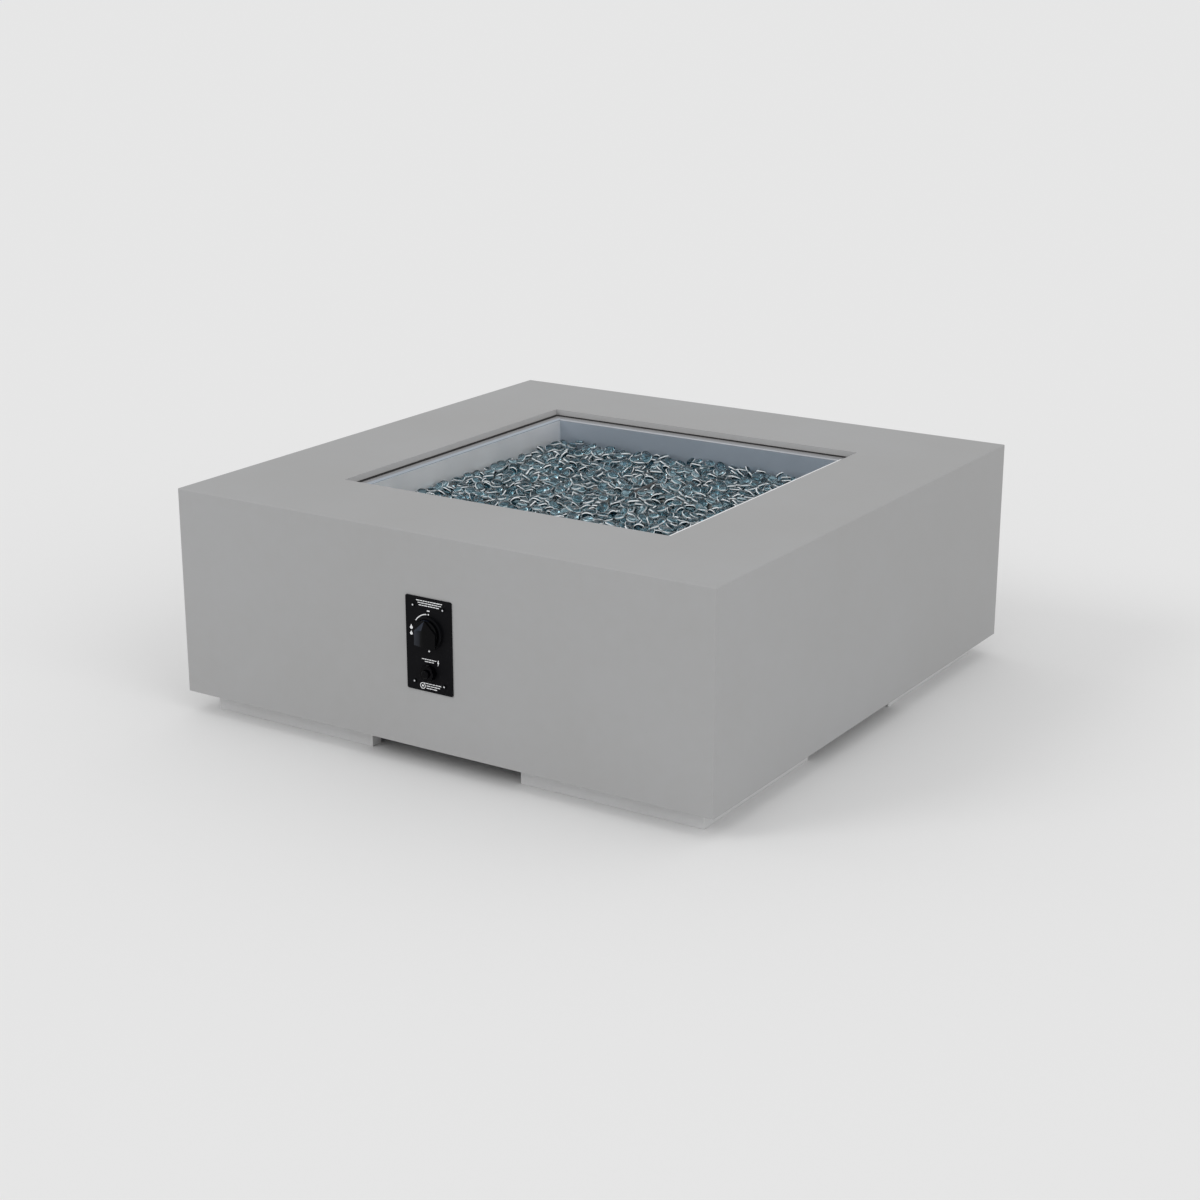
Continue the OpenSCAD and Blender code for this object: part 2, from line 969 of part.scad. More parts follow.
module igniter_ring()
    color(black)
        at_button()
            difference() {
                rod(ring_d, panel_t, panel_t + ring_h);
                rod(barrel_d + 2 * fit, panel_t - cut, panel_t + ring_h - ring_lip);
                rod(button_d + 2 * free_gap, panel_t, panel_t + ring_h + cut);
                for (i = [0:ring_scallops - 1])
                    rotate([0, 0, (i + 0.5) * 360 / ring_scallops])
                        translate([ring_d / 2 + scallop_d / 4, 0, 0])
                            rod(scallop_d, panel_t - cut, panel_t + ring_h + cut);
            }

module igniter_button() {
    shoulder = panel_t + ring_h - ring_lip - free_gap;
    front = panel_t + ring_h + button_travel + button_proud;
    color(black)
        at_button() {
            rod(button_shoulder_d, -button_in, shoulder);
            rod(button_d, shoulder, front - button_chamfer);
            translate([0, 0, front - button_chamfer])
                cylinder(d1 = button_d, d2 = button_d - 2 * button_chamfer, h = button_chamfer);
        }
}

battery_front = barrel_end - barrel_l + battery_l;

module igniter_spring()
    color(steel)
        at_button()
            translate([0, 0, battery_front])
                coil(
                    igniter_coil_share * battery_d,
                    igniter_wire,
                    -button_in - battery_front,
                    igniter_turns
                );

module igniter_battery()
    color(zinc)
        at_button() {
            rod(battery_d, barrel_end - barrel_l, battery_front - battery_nub_l);
            rod(battery_nub_d, battery_front - battery_nub_l, battery_front);
        }

// Leads: each leaves its fitting towards the back and rises to its probe under the pan.
function lead_route(from, to) = [
    from,
    from + [0, lead_run_out, -lead_dip],
    to - [0, 0, lead_rise],
    to
];

module igniter_lead()
    color(black)
        wire(
            lead_route(
                [panel_x, front_y + barrel_l, panel_z - button_down],
                [guard_x, mid_y + guard_y + probe_dy, below_z - rod_down]
            ),
            lead_d, lead_steps, lead_sides
        );

module thermocouple_lead()
    color(brass)
        wire(
            lead_route(
                [panel_x, front_y + magnet_end + magnet_nut_l, panel_z + knob_up],
                [guard_x, mid_y + guard_y - probe_dy, below_z - probe_down]
            ),
            lead_d, lead_steps, lead_sides
        );

// Probes under the guard, one on each side of the burner leg
module probe_holes(from, to) {
    translate([0, probe_dy, 0])
        rod(insulator_d + 2 * fit, from, to);
    translate([0, -probe_dy, 0])
        rod(probe_thread_d + 2 * fit, from, to);
}

module electrode_insulator()
    color(ceramic)
        at_guard()
            translate([0, probe_dy, 0])
                difference() {
                    union() {
                        rod(insulator_d, -pan_t - insulator_down, insulator_up);
                        rod(insulator_collar_d, 0, insulator_collar_h);
                    }
                    rod(rod_d + 2 * fit, -pan_t - insulator_down - cut, insulator_up + cut);
                }

module electrode_rod()
    color(steel)
        at_guard()
            translate([0, probe_dy, 0])
                rod(rod_d, -pan_t - rod_down, rod_up);

module thermocouple()
    color(brass)
        at_guard()
            translate([0, -probe_dy, 0]) {
                rod(probe_d, 0, probe_up);
                rod(probe_thread_d, -pan_t - probe_down, 0);
            }

// Bracket: a plate under the pan floor that the probes pass through.
module bracket_screw_places()
    for (side = [-1, 1])
        translate([0, side * bracket_screw_y, 0])
            children();

module pilot_bracket()
    color(steel)
        at_guard()
            difference() {
                translate([-bracket_w / 2, -bracket_l / 2, -pan_t - bracket_t])
                    cube([bracket_w, bracket_l, bracket_t]);
                probe_holes(-pan_t - bracket_t - cut, 0);
                bracket_screw_places()
                    rod(bracket_screw_d + 2 * fit, -pan_t - bracket_t - cut, 0);
            }

module bracket_screws()
    color(zinc)
        at_guard()
            bracket_screw_places() {
                rod(bracket_screw_d, -bracket_screw_l, 0);
                rod(bracket_screw_head, 0, bracket_screw_head_h);
            }

// Guard: a folded tent that straddles the burner leg, its ridge just above the glass.
module guard_profile(grow)
    polygon([
        [-guard_w / 2 - grow, -grow],
        [guard_w / 2 + grow, -grow],
        [guard_w / 2 + grow, guard_t + grow],
        [guard_t / 2, guard_h + grow],
        [-guard_t / 2, guard_h + grow],
        [-guard_w / 2 - grow, guard_t + grow]
    ]);

module spark_guard()
    color(steel)
        at_guard()
            difference() {
                translate([0, guard_l / 2, 0])
                    rotate([90, 0, 0])
                        linear_extrude(height = guard_l)
                            difference() {
                                guard_profile(0);
                                translate([0, -guard_t])
                                    polygon([
                                        [guard_foot - guard_w / 2, -cut],
                                        [guard_w / 2 - guard_foot, -cut],
                                        [guard_w / 2 - guard_foot, 2 * guard_t],
                                        [0, guard_h - guard_t],
                                        [guard_foot - guard_w / 2, 2 * guard_t]
                                    ]);
                            }
                translate([-guard_w, -leg_d / 2 - free_gap, -cut])
                    cube([2 * guard_w, leg_d + 2 * free_gap, leg_z + leg_d / 2 + free_gap + cut]);
            }

// Packed glass: a slab with channels for the burner and room under the guard.
module glass_bed()
    color(glass)
        translate([0, mid_y, floor_z])
            difference() {
                square_block(pan_w - 2 * free_gap, 0, glass_h);
                for (side = [-1, 1])
                    translate([
                        -leg_l / 2 - free_gap,
                        side * leg_span / 2 - leg_d / 2 - free_gap,
                        -cut
                    ])
                        cube([
                            leg_l + 2 * free_gap,
                            leg_d + 2 * free_gap,
                            leg_z + leg_d / 2 + free_gap + cut
                        ]);
                translate([-cross_d / 2 - free_gap, -leg_span / 2, -cut])
                    cube([cross_d + 2 * free_gap, leg_span, leg_z + cross_d / 2 + free_gap + cut]);
                rod(hub_d + 2 * free_gap, -cut, leg_z + leg_d / 2 + free_gap);
                translate([guard_x, guard_y + guard_l / 2 + free_gap, 0])
                    rotate([90, 0, 0])
                        linear_extrude(height = guard_l + 2 * free_gap)
                            guard_profile(free_gap);
            }

// Gems of the top layer: flattened glass drops, each tilted its own way, lying on the slab.
gem_bulge = (pow(gem_w / 2, 2) + pow(gem_t / 2, 2)) / gem_t;
gem_offset = gem_bulge - gem_t / 2;
gem_spare = 0.6;
gem_lean = 38;
gem_sides = 24;
gem_rows = floor((pan_w - gem_w - 4 * gem_spare) / gem_pitch) + 1;

// No gem lies where the guard comes out of the glass.
guard_half_out = guard_w / 2 * (1 - glass_h / guard_h);
gem_clear_x = guard_half_out + gem_w / 2 + gem_spare;
gem_clear_y = guard_l / 2 + gem_w / 2 + gem_spare;

function scatter(i, j, k) =
    let (s = sin((i * 127.1 + j * 311.7 + k * 74.7) * 57.3) * 43758.5453)
    s - floor(s);

module gem()
    intersection() {
        translate([0, 0, gem_offset])
            sphere(r = gem_bulge, $fn = gem_sides);
        translate([0, 0, -gem_offset])
            sphere(r = gem_bulge, $fn = gem_sides);
    }

module glass_gems()
    color(glass)
        translate([0, mid_y, glass_z])
            for (i = [0:gem_rows - 1], j = [0:gem_rows - 1])
                let (
                    x = (i - (gem_rows - 1) / 2) * gem_pitch + gem_spare * (2 * scatter(i, j, 1) - 1),
                    y = (j - (gem_rows - 1) / 2) * gem_pitch + gem_spare * (2 * scatter(i, j, 2) - 1),
                    lean = gem_lean * scatter(i, j, 3),
                    z = gem_bulge - gem_offset * cos(lean) + free_gap,
                    by_guard = abs(x - guard_x) < gem_clear_x && abs(y - guard_y) < gem_clear_y
                )
                if (!by_guard)
                    translate([x, y, z])
                        rotate([0, 0, 360 * scatter(i, j, 4)])
                            rotate([lean, 0, 0])
                                gem();

body_shell();
foot(-1, -1);  // foot_front_left
foot(1, -1);  // foot_front_right
foot(-1, 1);  // foot_back_left
foot(1, 1);  // foot_back_right
foot_screws();
fire_pan();
burner();
burner_nipple();
pan_gasket();
pan_nut();
air_mixer();
gas_orifice();
burner_hose();
hose_nuts();
outlet_elbow();
inlet_elbow();
gas_valve();
valve_screws();
valve_stem();
stem_spring();
spring_cup();
control_knob();
knob_bezel();
control_panel();
panel_screws();
wall_plugs();
igniter_barrel();
igniter_ring();
igniter_button();
igniter_spring();
igniter_battery();
igniter_lead();
thermocouple();
thermocouple_lead();
electrode_insulator();
electrode_rod();
pilot_bracket();
bracket_screws();
spark_guard();
glass_bed();
glass_gems();
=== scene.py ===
"""Square gas fire table: its finishes, glass, print and fine trim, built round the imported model.

Metres, +Z up, the front faces -Y. Sizes come from the frame's boxes wherever a node carries them.
"""

import math

import bmesh
import bpy
import numpy as np
from mathutils import Matrix, Vector


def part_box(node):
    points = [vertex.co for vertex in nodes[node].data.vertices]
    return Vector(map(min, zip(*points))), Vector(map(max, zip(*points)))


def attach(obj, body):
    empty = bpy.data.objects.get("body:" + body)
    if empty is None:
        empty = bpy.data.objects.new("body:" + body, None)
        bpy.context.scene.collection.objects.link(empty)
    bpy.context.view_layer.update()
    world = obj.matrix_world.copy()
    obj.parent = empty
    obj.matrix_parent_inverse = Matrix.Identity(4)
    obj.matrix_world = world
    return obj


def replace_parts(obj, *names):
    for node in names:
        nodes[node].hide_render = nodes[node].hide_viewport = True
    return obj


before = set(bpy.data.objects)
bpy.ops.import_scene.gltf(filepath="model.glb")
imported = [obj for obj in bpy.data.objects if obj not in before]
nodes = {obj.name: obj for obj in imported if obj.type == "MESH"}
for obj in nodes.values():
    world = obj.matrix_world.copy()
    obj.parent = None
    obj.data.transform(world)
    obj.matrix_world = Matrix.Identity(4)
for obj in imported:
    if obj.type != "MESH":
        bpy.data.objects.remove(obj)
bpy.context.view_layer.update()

MM = 0.001


# Sizes that the frame gives
shell_low, shell_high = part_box("body_shell")
pan_low, pan_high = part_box("fire_pan")
bed_low, bed_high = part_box("glass_bed")
guard_low, guard_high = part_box("spark_guard")
plate_low, plate_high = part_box("control_panel")
MID_Y = (shell_low.y + shell_high.y) / 2
FLANGE_HALF = pan_high.x
FLANGE_Z = pan_high.z
PAN_HALF = bed_high.x
PAN_FLOOR = bed_low.z
GLASS_Z = bed_high.z
PLATE_Y = plate_low.y
PLATE_X = (plate_low.x + plate_high.x) / 2
PLATE_Z = (plate_low.z + plate_high.z) / 2


# Camera: the view of the photograph, fitted to the shell's corners
AZIMUTH = math.radians(32.824)
ELEVATION = math.radians(17.560)
TABLE_W = shell_high.x - shell_low.x
DISTANCE = 3.828 * TABLE_W
ASIDE = -0.0117 * TABLE_W
RAISED = 0.1042 * TABLE_W
LENS = 66.86
CLIP_END = 200


def make_camera():
    back = Vector((
        math.sin(AZIMUTH) * math.cos(ELEVATION),
        -math.cos(AZIMUTH) * math.cos(ELEVATION),
        math.sin(ELEVATION),
    ))
    right = Vector((math.cos(AZIMUTH), math.sin(AZIMUTH), 0))
    up = back.cross(right)
    data = bpy.data.cameras.new("camera")
    data.lens = LENS
    data.clip_end = CLIP_END
    camera = bpy.data.objects.new("camera", data)
    camera.matrix_world = Matrix((right, up, back)).transposed().to_4x4()
    base = Vector((0, MID_Y, shell_low.z))
    camera.location = base + back * DISTANCE + right * ASIDE + up * RAISED
    bpy.context.scene.collection.objects.link(camera)
    bpy.context.scene.camera = camera


# Node trees
class Look:
    """A material whose nodes are added one by one round a Principled shader."""

    def __init__(self, name, **sockets):
        self.material = bpy.data.materials.new(name)
        self.material.use_nodes = True
        self.tree = self.material.node_tree
        self.tree.nodes.clear()
        self.shader = self.add("ShaderNodeBsdfPrincipled", **sockets)
        output = self.add("ShaderNodeOutputMaterial")
        self.tree.links.new(self.shader.outputs[0], output.inputs[0])

    def add(self, kind, props=None, **sockets):
        node = self.tree.nodes.new(kind)
        for key, value in (props or {}).items():
            setattr(node, key, value)
        for key, value in sockets.items():
            self.plug(node, key.replace("_", " "), value)
        return node

    def plug(self, node, key, value):
        """Sets or links an input, given by its name, or by its number after an i."""
        numbered = key[0] == "i" and key[1:].isdigit()
        socket = node.inputs[int(key[1:]) if numbered else key]
        if isinstance(value, bpy.types.NodeSocket):
            self.tree.links.new(value, socket)
        else:
            socket.default_value = value

    def place(self):
        """Coordinates in the model's own frame, in metres."""
        return self.add("ShaderNodeTexCoord").outputs["Object"]

    def noise(self, size, detail, rough):
        """Noise whose features are about size metres across."""
        node = self.add(
            "ShaderNodeTexNoise", Vector=self.place(), Scale=1 / size, Detail=detail, Roughness=rough
        )
        return node.outputs["Fac"]

    def spots(self, cell, radius, spread):
        """Round spots of about radius metres, in those cells whose random draw is over spread."""
        node = self.add("ShaderNodeTexVoronoi", Vector=self.place(), Scale=1 / cell)
        near = self.span(node.outputs["Distance"], radius / cell, 0.4 * radius / cell, 0, 1)
        draw = self.add("ShaderNodeSeparateColor", i0=node.outputs["Color"]).outputs[0]
        some = self.span(draw, spread, spread + 0.02, 0, 1)
        return self.maths("MULTIPLY", near, some)

    def maths(self, operation, a, b=0.0):
        return self.add("ShaderNodeMath", {"operation": operation}, i0=a, i1=b).outputs[0]

    def span(self, value, low, high, to_low, to_high):
        """Maps value from low..high to to_low..to_high, held at both ends."""
        return self.add(
            "ShaderNodeMapRange", i0=value, i1=low, i2=high, i3=to_low, i4=to_high
        ).outputs[0]

    def mix(self, factor, a, b):
        """Mixes two colours, each a socket or three numbers."""
        node = self.add("ShaderNodeMix", {"data_type": "RGBA"})
        self.plug(node, "i0", factor)
        for index, colour in ((6, a), (7, b)):
            whole = colour if isinstance(colour, bpy.types.NodeSocket) else (*colour, 1)
            self.plug(node, f"i{index}", whole)
        return node.outputs[2]

    def bump(self, height, depth, strength):
        """Bump whose full range of height is depth metres."""
        node = self.add("ShaderNodeBump", Height=height, Distance=depth, Strength=strength)
        self.plug(self.shader, "Normal", node.outputs[0])

    def shine(self, level):
        self.shader.inputs["Specular IOR Level"].default_value = level

    def set(self, **sockets):
        for key, value in sockets.items():
            self.plug(self.shader, key.replace("_", " "), value)


# Concrete
CLOUD_DARK = (0.972, 0.971, 0.970)
CLOUD_PALE = (1.018, 1.024, 1.034)
STONE_MOTTLE = 22 * MM
SAND_GRAIN = 1.1 * MM
SAND_CONTRAST = 0.022
PORE_CELL = 16 * MM
PORE_R = 0.7 * MM
PORE_SPREAD = 0.55
PORE_TONE = 0.55
STONE_RELIEF = 0.35 * MM


def concrete_look(name, level, cloud, recess=1.0):
    """Smooth cast concrete: faint clouds, fine sand grain, small pores and a dry, slightly uneven face.

    Inside the recess it is recess times as bright: painted light against the recess's shade.
    """
    look = Look(name)
    dark = tuple(level * c for c in CLOUD_DARK)
    pale = tuple(level * c for c in CLOUD_PALE)
    clouds = look.noise(cloud, 5, 0.55)
    mottle = look.noise(STONE_MOTTLE, 6, 0.6)
    grain = look.noise(SAND_GRAIN, 3, 0.6)
    pores = look.spots(PORE_CELL, PORE_R, PORE_SPREAD)
    tone = look.maths("ADD", clouds, look.maths("MULTIPLY", mottle, 0.5))
    tone = look.maths("MULTIPLY", tone, 0.667)
    colour = look.mix(look.span(tone, 0.36, 0.64, 0, 1), dark, pale)
    sand = look.span(grain, 0.3, 0.7, -SAND_CONTRAST, SAND_CONTRAST)
    place = look.add("ShaderNodeSeparateXYZ", i0=look.place())
    across = look.maths("ABSOLUTE", place.outputs["X"])
    along = look.maths("ABSOLUTE", look.maths("SUBTRACT", place.outputs["Y"], MID_Y))
    edge = FLANGE_HALF + RECESS_GAP
    out = look.maths("MAXIMUM", across, along)
    # Painted light: the recess is painted paler against its shade
    sunk_painted_light = look.span(out, edge + 0.3 * MM, edge + 0.8 * MM, recess, 1.0)
    value = look.maths("MULTIPLY", sunk_painted_light, look.maths("ADD", sand, 1.0))
    grey = look.add("ShaderNodeHueSaturation", Color=colour, Value=value).outputs[0]
    look.set(
        Base_Color=look.mix(look.maths("MULTIPLY", pores, 0.45), grey, (PORE_TONE * level,) * 3),
        Roughness=look.span(mottle, 0.3, 0.7, 0.70, 0.84),
    )
    look.shine(0.32)
    grain_part, mottle_part = look.maths("MULTIPLY", grain, 0.35), look.maths("MULTIPLY", mottle, 0.65)
    relief = look.maths("ADD", grain_part, mottle_part)
    look.bump(look.maths("SUBTRACT", relief, look.maths("MULTIPLY", pores, 0.9)), STONE_RELIEF, 0.6)
    return look.material


# Metals and plastics
BRUSHED_LINES = (6, 2600, 1)
BRUSHED_RELIEF = 0.06 * MM
METAL_GRAIN = 0.8 * MM
TARNISH = 0.3
MOULD_GRAIN = 0.7 * MM
MOULD_RELIEF = 0.05 * MM
SCREW_GRAIN = 0.6 * MM
SCREW_HEAD_R = 3.5 * MM
# Radius of the painted highlight in the middle of each screw head
SCREW_GLINT_R = 1.1 * MM
FINE_RELIEF = 0.08 * MM


def steel_look(name, across, along, flange_painted_shade, rough, brush):
    """Brushed sheet steel: fine lines along a UV map's first axis, soft clouds in its shine.

    Each face's "shade" is painted light and shade: it says how far the sheet is from the first colour, a
    painted shade, to the second, a painted light. Minus one is the flange's painted shade.
    """
    look = Look(name, Metallic=0.65)
    uv = look.add("ShaderNodeUVMap", {"uv_map": "grain"}).outputs[0]
    lines = look.add(
        "ShaderNodeTexNoise",
        Vector=look.add("ShaderNodeMapping", Vector=uv, Scale=BRUSHED_LINES).outputs[0],
        Scale=1.0, Detail=4.0, Roughness=0.65,
    ).outputs["Fac"]
    clouds = look.noise(0.09, 4, 0.6)
    shade = look.span(lines, 0.3, 0.7, -0.5, 0.5)
    tone = look.add("ShaderNodeAttribute", {"attribute_name": "shade"}).outputs["Fac"]
    # Painted light and shade: each face mixes the painted shade (across), the painted light (along) and the
    # flange's painted shade by its "shade"
    sheet = look.mix(look.span(tone, -1, 0, 0, 1), flange_painted_shade, look.mix(tone, across, along))
    streaks = look.maths("ADD", look.maths("MULTIPLY", shade, brush), clouds)
    look.set(
        Base_Color=look.add(
            "ShaderNodeHueSaturation", Color=sheet, Value=look.span(streaks, 0, 1, 0.93, 1.06)
        ).outputs[0],
        Roughness=look.maths("ADD", look.span(clouds, 0.3, 0.7, rough - 0.04, rough + 0.05),
                             look.maths("MULTIPLY", shade, 0.12)),
    )
    look.bump(lines, BRUSHED_RELIEF, 0.5)
    return look.material


def metal_look(name, colour, rough, mottle=12 * MM, depth=FINE_RELIEF):
    """Machined, plated or cast metal: cloudy shine, fine grain and darker tarnish in patches."""
    look = Look(name, Metallic=1.0)
    clouds = look.noise(mottle, 5, 0.6)
    fine = look.noise(METAL_GRAIN, 3, 0.6)
    wear_and_painted_light = tuple((1 - TARNISH) * c for c in colour)
    look.set(
        Base_Color=look.mix(look.span(clouds, 0.42, 0.68, 0, 1), colour, wear_and_painted_light),
        Roughness=look.maths("ADD", look.span(clouds, 0.3, 0.7, rough - 0.05, rough + 0.09),
                             look.span(fine, 0.3, 0.7, -0.05, 0.05)),
    )
    look.bump(fine, depth, 0.7)
    return look.material


def plastic_look(name, colour, rough, scuff=0.15, shine=0.5):
    """Moulded plastic, rubber or powder coat: fine spark-eroded grain and faint dull scuffs."""
    look = Look(name)
    look.shine(shine)
    fine = look.noise(MOULD_GRAIN, 2, 0.5)
    clouds = look.noise(18 * MM, 5, 0.65)
    pale = tuple(c + scuff * 0.05 for c in colour)
    look.set(
        Base_Color=look.mix(look.span(clouds, 0.5, 0.75, 0, 1), colour, pale),
        Roughness=look.span(clouds, 0.35, 0.7, rough - 0.04, rough + 0.10),
    )
    look.bump(fine, MOULD_RELIEF, 0.8)
    return look.material


def screw_look(name, across, up, wear_and_painted_light):
    """Blackened screws, at across and up on each side of the plate's middle, with a painted highlight in
    the middle of each head.
    """
    look = Look(name, Metallic=1.0)

    def vector(operation, a, **other):
        return look.add("ShaderNodeVectorMath", {"operation": operation}, i0=a, **other)

    centred = vector("SUBTRACT", look.place(), i1=(PLATE_X, 0, PLATE_Z)).outputs[0]
    folded = vector("ABSOLUTE", centred).outputs[0]
    flat = vector("MULTIPLY", folded, i1=(1, 0, 1)).outputs[0]
    away = vector("DISTANCE", flat, i1=(across, 0, up)).outputs["Value"]
    fine = look.noise(SCREW_GRAIN, 3, 0.6)
    reach = look.maths("ADD", away, look.span(fine, 0.3, 0.7, -0.3 * MM, 0.3 * MM))
    # Painted highlight: each head is pale near its middle
    bright = look.span(reach, wear_and_painted_light, 1.5 * wear_and_painted_light, 1, 0)
    look.set(
        Base_Color=look.mix(bright, (0.012, 0.012, 0.014), (0.80, 0.81, 0.84)),
        Roughness=look.span(fine, 0.3, 0.7, 0.30, 0.42),
    )
    look.bump(fine, FINE_RELIEF, 0.7)
    return look.material


BLACK = (0.001, 0.001, 0.0015)
# Painted light: the blue on the knob's faces that look left and up, and the direction it comes from
PAINTED_BLUE_LIGHT = (0.024, 0.033, 0.056)
PAINTED_LIGHT_FROM = (-0.78, -0.2, 0.59)


def knob_look(name):
    """Satin black plastic with a painted faint blue light on the faces that look left and up in the room.
    """
    look = Look(name, Roughness=0.34)
    look.shine(0.10)
    normal = look.add("ShaderNodeNewGeometry").outputs["Normal"]
    facing_painted_light = look.add(
        "ShaderNodeVectorMath", {"operation": "DOT_PRODUCT"}, i0=normal, i1=PAINTED_LIGHT_FROM
    ).outputs["Value"]
    # Noise makes the knob's painted light a little uneven
    wear_and_painted_light = look.span(look.noise(9 * MM, 4, 0.6), 0.2, 0.8, 0.8, 1.1)
    lit = look.maths("MULTIPLY", look.span(facing_painted_light, 0.32, 0.95, 0, 1), wear_and_painted_light)
    look.set(Base_Color=look.mix(lit, BLACK, PAINTED_BLUE_LIGHT))
    look.bump(look.noise(MOULD_GRAIN, 2, 0.5), MOULD_RELIEF, 0.8)
    return look.material


# Glass
GLASS_IOR = 1.52
GLASS_SHINE = (0.62, 0.86, 1.0, 1)
GLASS_DEEP = (0.17, 0.35, 0.42)
GLASS_THIN = (0.70, 0.86, 0.92)
# Painted reflection on each gem's rim, and a painted dark line of shade inside it
PAINTED_RIM_REFLECTION = (0.98, 0.99, 1.0)
PAINTED_RIM_SHADE = (0.014, 0.045, 0.062)
CHIP = 14 * MM


def glass_look(name):
    """Blue-green glass, faintly rippled. Each gem has its own depth of colour, a painted pale reflection on
    its rim and a painted dark line of shade inside the rim, which stand in for what bright and dark
    surroundings make on real glass."""
    look = Look(name, IOR=GLASS_IOR, Specular_Tint=GLASS_SHINE)
    tone = look.add("ShaderNodeAttribute", {"attribute_name": "tone"}).outputs["Fac"]
    rim = look.add("ShaderNodeAttribute", {"attribute_name": "rim"}).outputs["Fac"]
    ripple = look.noise(8 * MM, 3, 0.5)
    # Painted reflection: the rim is pale, rougher and hardly clear
    edge = look.span(look.maths("ADD", rim, look.maths("MULTIPLY", ripple, 0.3)), 0.80, 1.05, 0, 1)
    shade = look.maths("ADD", look.maths("MULTIPLY", tone, 0.8), look.maths("MULTIPLY", ripple, 0.4))
    body = look.mix(look.span(shade, 0.1, 1.0, 0, 1), GLASS_DEEP, GLASS_THIN)
    # Painted shade: a dark line inside the rim
    with_painted_rim_shade = look.mix(look.span(rim, -0.75, -0.1, 1, 0), body, PAINTED_RIM_SHADE)
    look.set(
        Base_Color=look.mix(edge, with_painted_rim_shade, PAINTED_RIM_REFLECTION),
        Roughness=look.span(edge, 0, 1, 0.02, 0.22),
        Transmission_Weight=look.span(edge, 0, 1, 1.0, 0.05),
    )
    look.bump(ripple, 0.4 * MM, 0.3)
    return look.material


def bed_look(name):
    """What shows between the gems: packed glass in its own shadow."""
    look = Look(name, IOR=1.5)
    chips = look.add("ShaderNodeTexVoronoi", Vector=look.place(), Scale=1 / CHIP).outputs["Distance"]
    shade = look.span(chips, 0.1, 0.8, 0, 1)
    look.set(
        Base_Color=look.mix(shade, (0.004, 0.010, 0.014), (0.025, 0.050, 0.065)),
        Roughness=look.span(chips, 0.0, 0.7, 0.12, 0.5),
    )
    look.bump(chips, 4 * MM, 0.8)
    return look.material


def print_look(name):
    """White screen print, a little uneven where the ink is thin."""
    look = Look(name)
    thin = look.noise(0.6 * MM, 3, 0.6)
    share = look.span(thin, 0.45, 0.75, 0, 1)
    look.set(
        Base_Color=look.mix(share, (0.94, 0.95, 0.96), (0.80, 0.81, 0.83)),
        Roughness=look.span(thin, 0.3, 0.7, 0.45, 0.6),
    )
    return look.material


# Floor and light: an even dome, a broad key from the upper left and a fill from the right
PAPER = 0.783
FLOOR_PAPER = 0.845
FLOOR_R = 90
FLOOR_DROP = 0.2 * MM


def floor_look():
    """A pale floor that keeps its shadows."""
    look = Look("floor")
    look.set(Base_Color=(FLOOR_PAPER, FLOOR_PAPER, FLOOR_PAPER, 1), Roughness=0.9)
    look.shine(0.0)
    return look.material


def make_world():
    world = bpy.data.worlds.new("studio")
    world.use_nodes = True
    background = world.node_tree.nodes["Background"]
    background.inputs[0].default_value = (PAPER, PAPER, PAPER, 1)
    background.inputs[1].default_value = 1.0
    bpy.context.scene.world = world


def make_sun(name, azimuth, elevation, level, spread):
    """A lamp whose light, square on, shows a white surface at level. Angles in degrees."""
    data = bpy.data.lights.new(name, "SUN")
    data.energy = level * math.pi
    data.angle = math.radians(spread)
    lamp = bpy.data.objects.new(name, data)
    a, e = math.radians(azimuth), math.radians(elevation)
    towards = Vector((math.sin(a) * math.cos(e), -math.cos(a) * math.cos(e), math.sin(e)))
    lamp.rotation_mode = "QUATERNION"
    lamp.rotation_quaternion = towards.to_track_quat("Z", "Y")
    bpy.context.scene.collection.objects.link(lamp)


def make_floor():
    mesh = bpy.data.meshes.new("floor")
    bm = bmesh.new()
    bmesh.ops.create_circle(bm, cap_ends=True, segments=96, radius=FLOOR_R)
    bm.to_mesh(mesh)
    bm.free()
    floor = bpy.data.objects.new("floor", mesh)
    floor.location.z = -FLOOR_DROP
    floor.data.materials.append(floor_look())
    bpy.context.scene.collection.objects.link(floor)


# Meshes, angles in degrees
FLAT_ANGLE = 0.4
EDGE_ANGLE = 32
CREASE_ANGLE = 40
SAME_PLACE = 1e-6


def mesh_object(name, points, faces, material):
    mesh = bpy.data.meshes.new(name)
    mesh.from_pydata([tuple(p) for p in points], [], faces)
    mesh.validate()
    mesh.update()
    mesh.shade_smooth()
    return link_piece(name, mesh, material)


def link_piece(name, mesh, material, body="root"):
    mesh.materials.append(material)
    piece = bpy.data.objects.new(name, mesh)
    bpy.context.scene.collection.objects.link(piece)
    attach(piece, body)
    return piece


def soften(piece, width, segments=2):
    """Rounds the edges of a piece and keeps its flat faces flat in the shading."""
    weld = piece.modifiers.new("weld", "WELD")
    weld.merge_threshold = 2 * SAME_PLACE
    plane = piece.modifiers.new("planes", "DECIMATE")
    plane.decimate_type = "DISSOLVE"
    plane.angle_limit = math.radians(FLAT_ANGLE)
    bevel = piece.modifiers.new("edges", "BEVEL")
    bevel.width = width
    bevel.segments = segments
    bevel.limit_method = "ANGLE"
    bevel.angle_limit = math.radians(EDGE_ANGLE)
    bevel.harden_normals = False
    normals = piece.modifiers.new("normals", "WEIGHTED_NORMAL")
    normals.keep_sharp = False
    for face in piece.data.polygons:
        face.use_smooth = True


def paint(material, *names):
    """Gives CAD nodes a material."""
    for name in names:
        mesh = nodes[name].data
        mesh.materials.clear()
        mesh.materials.append(material)


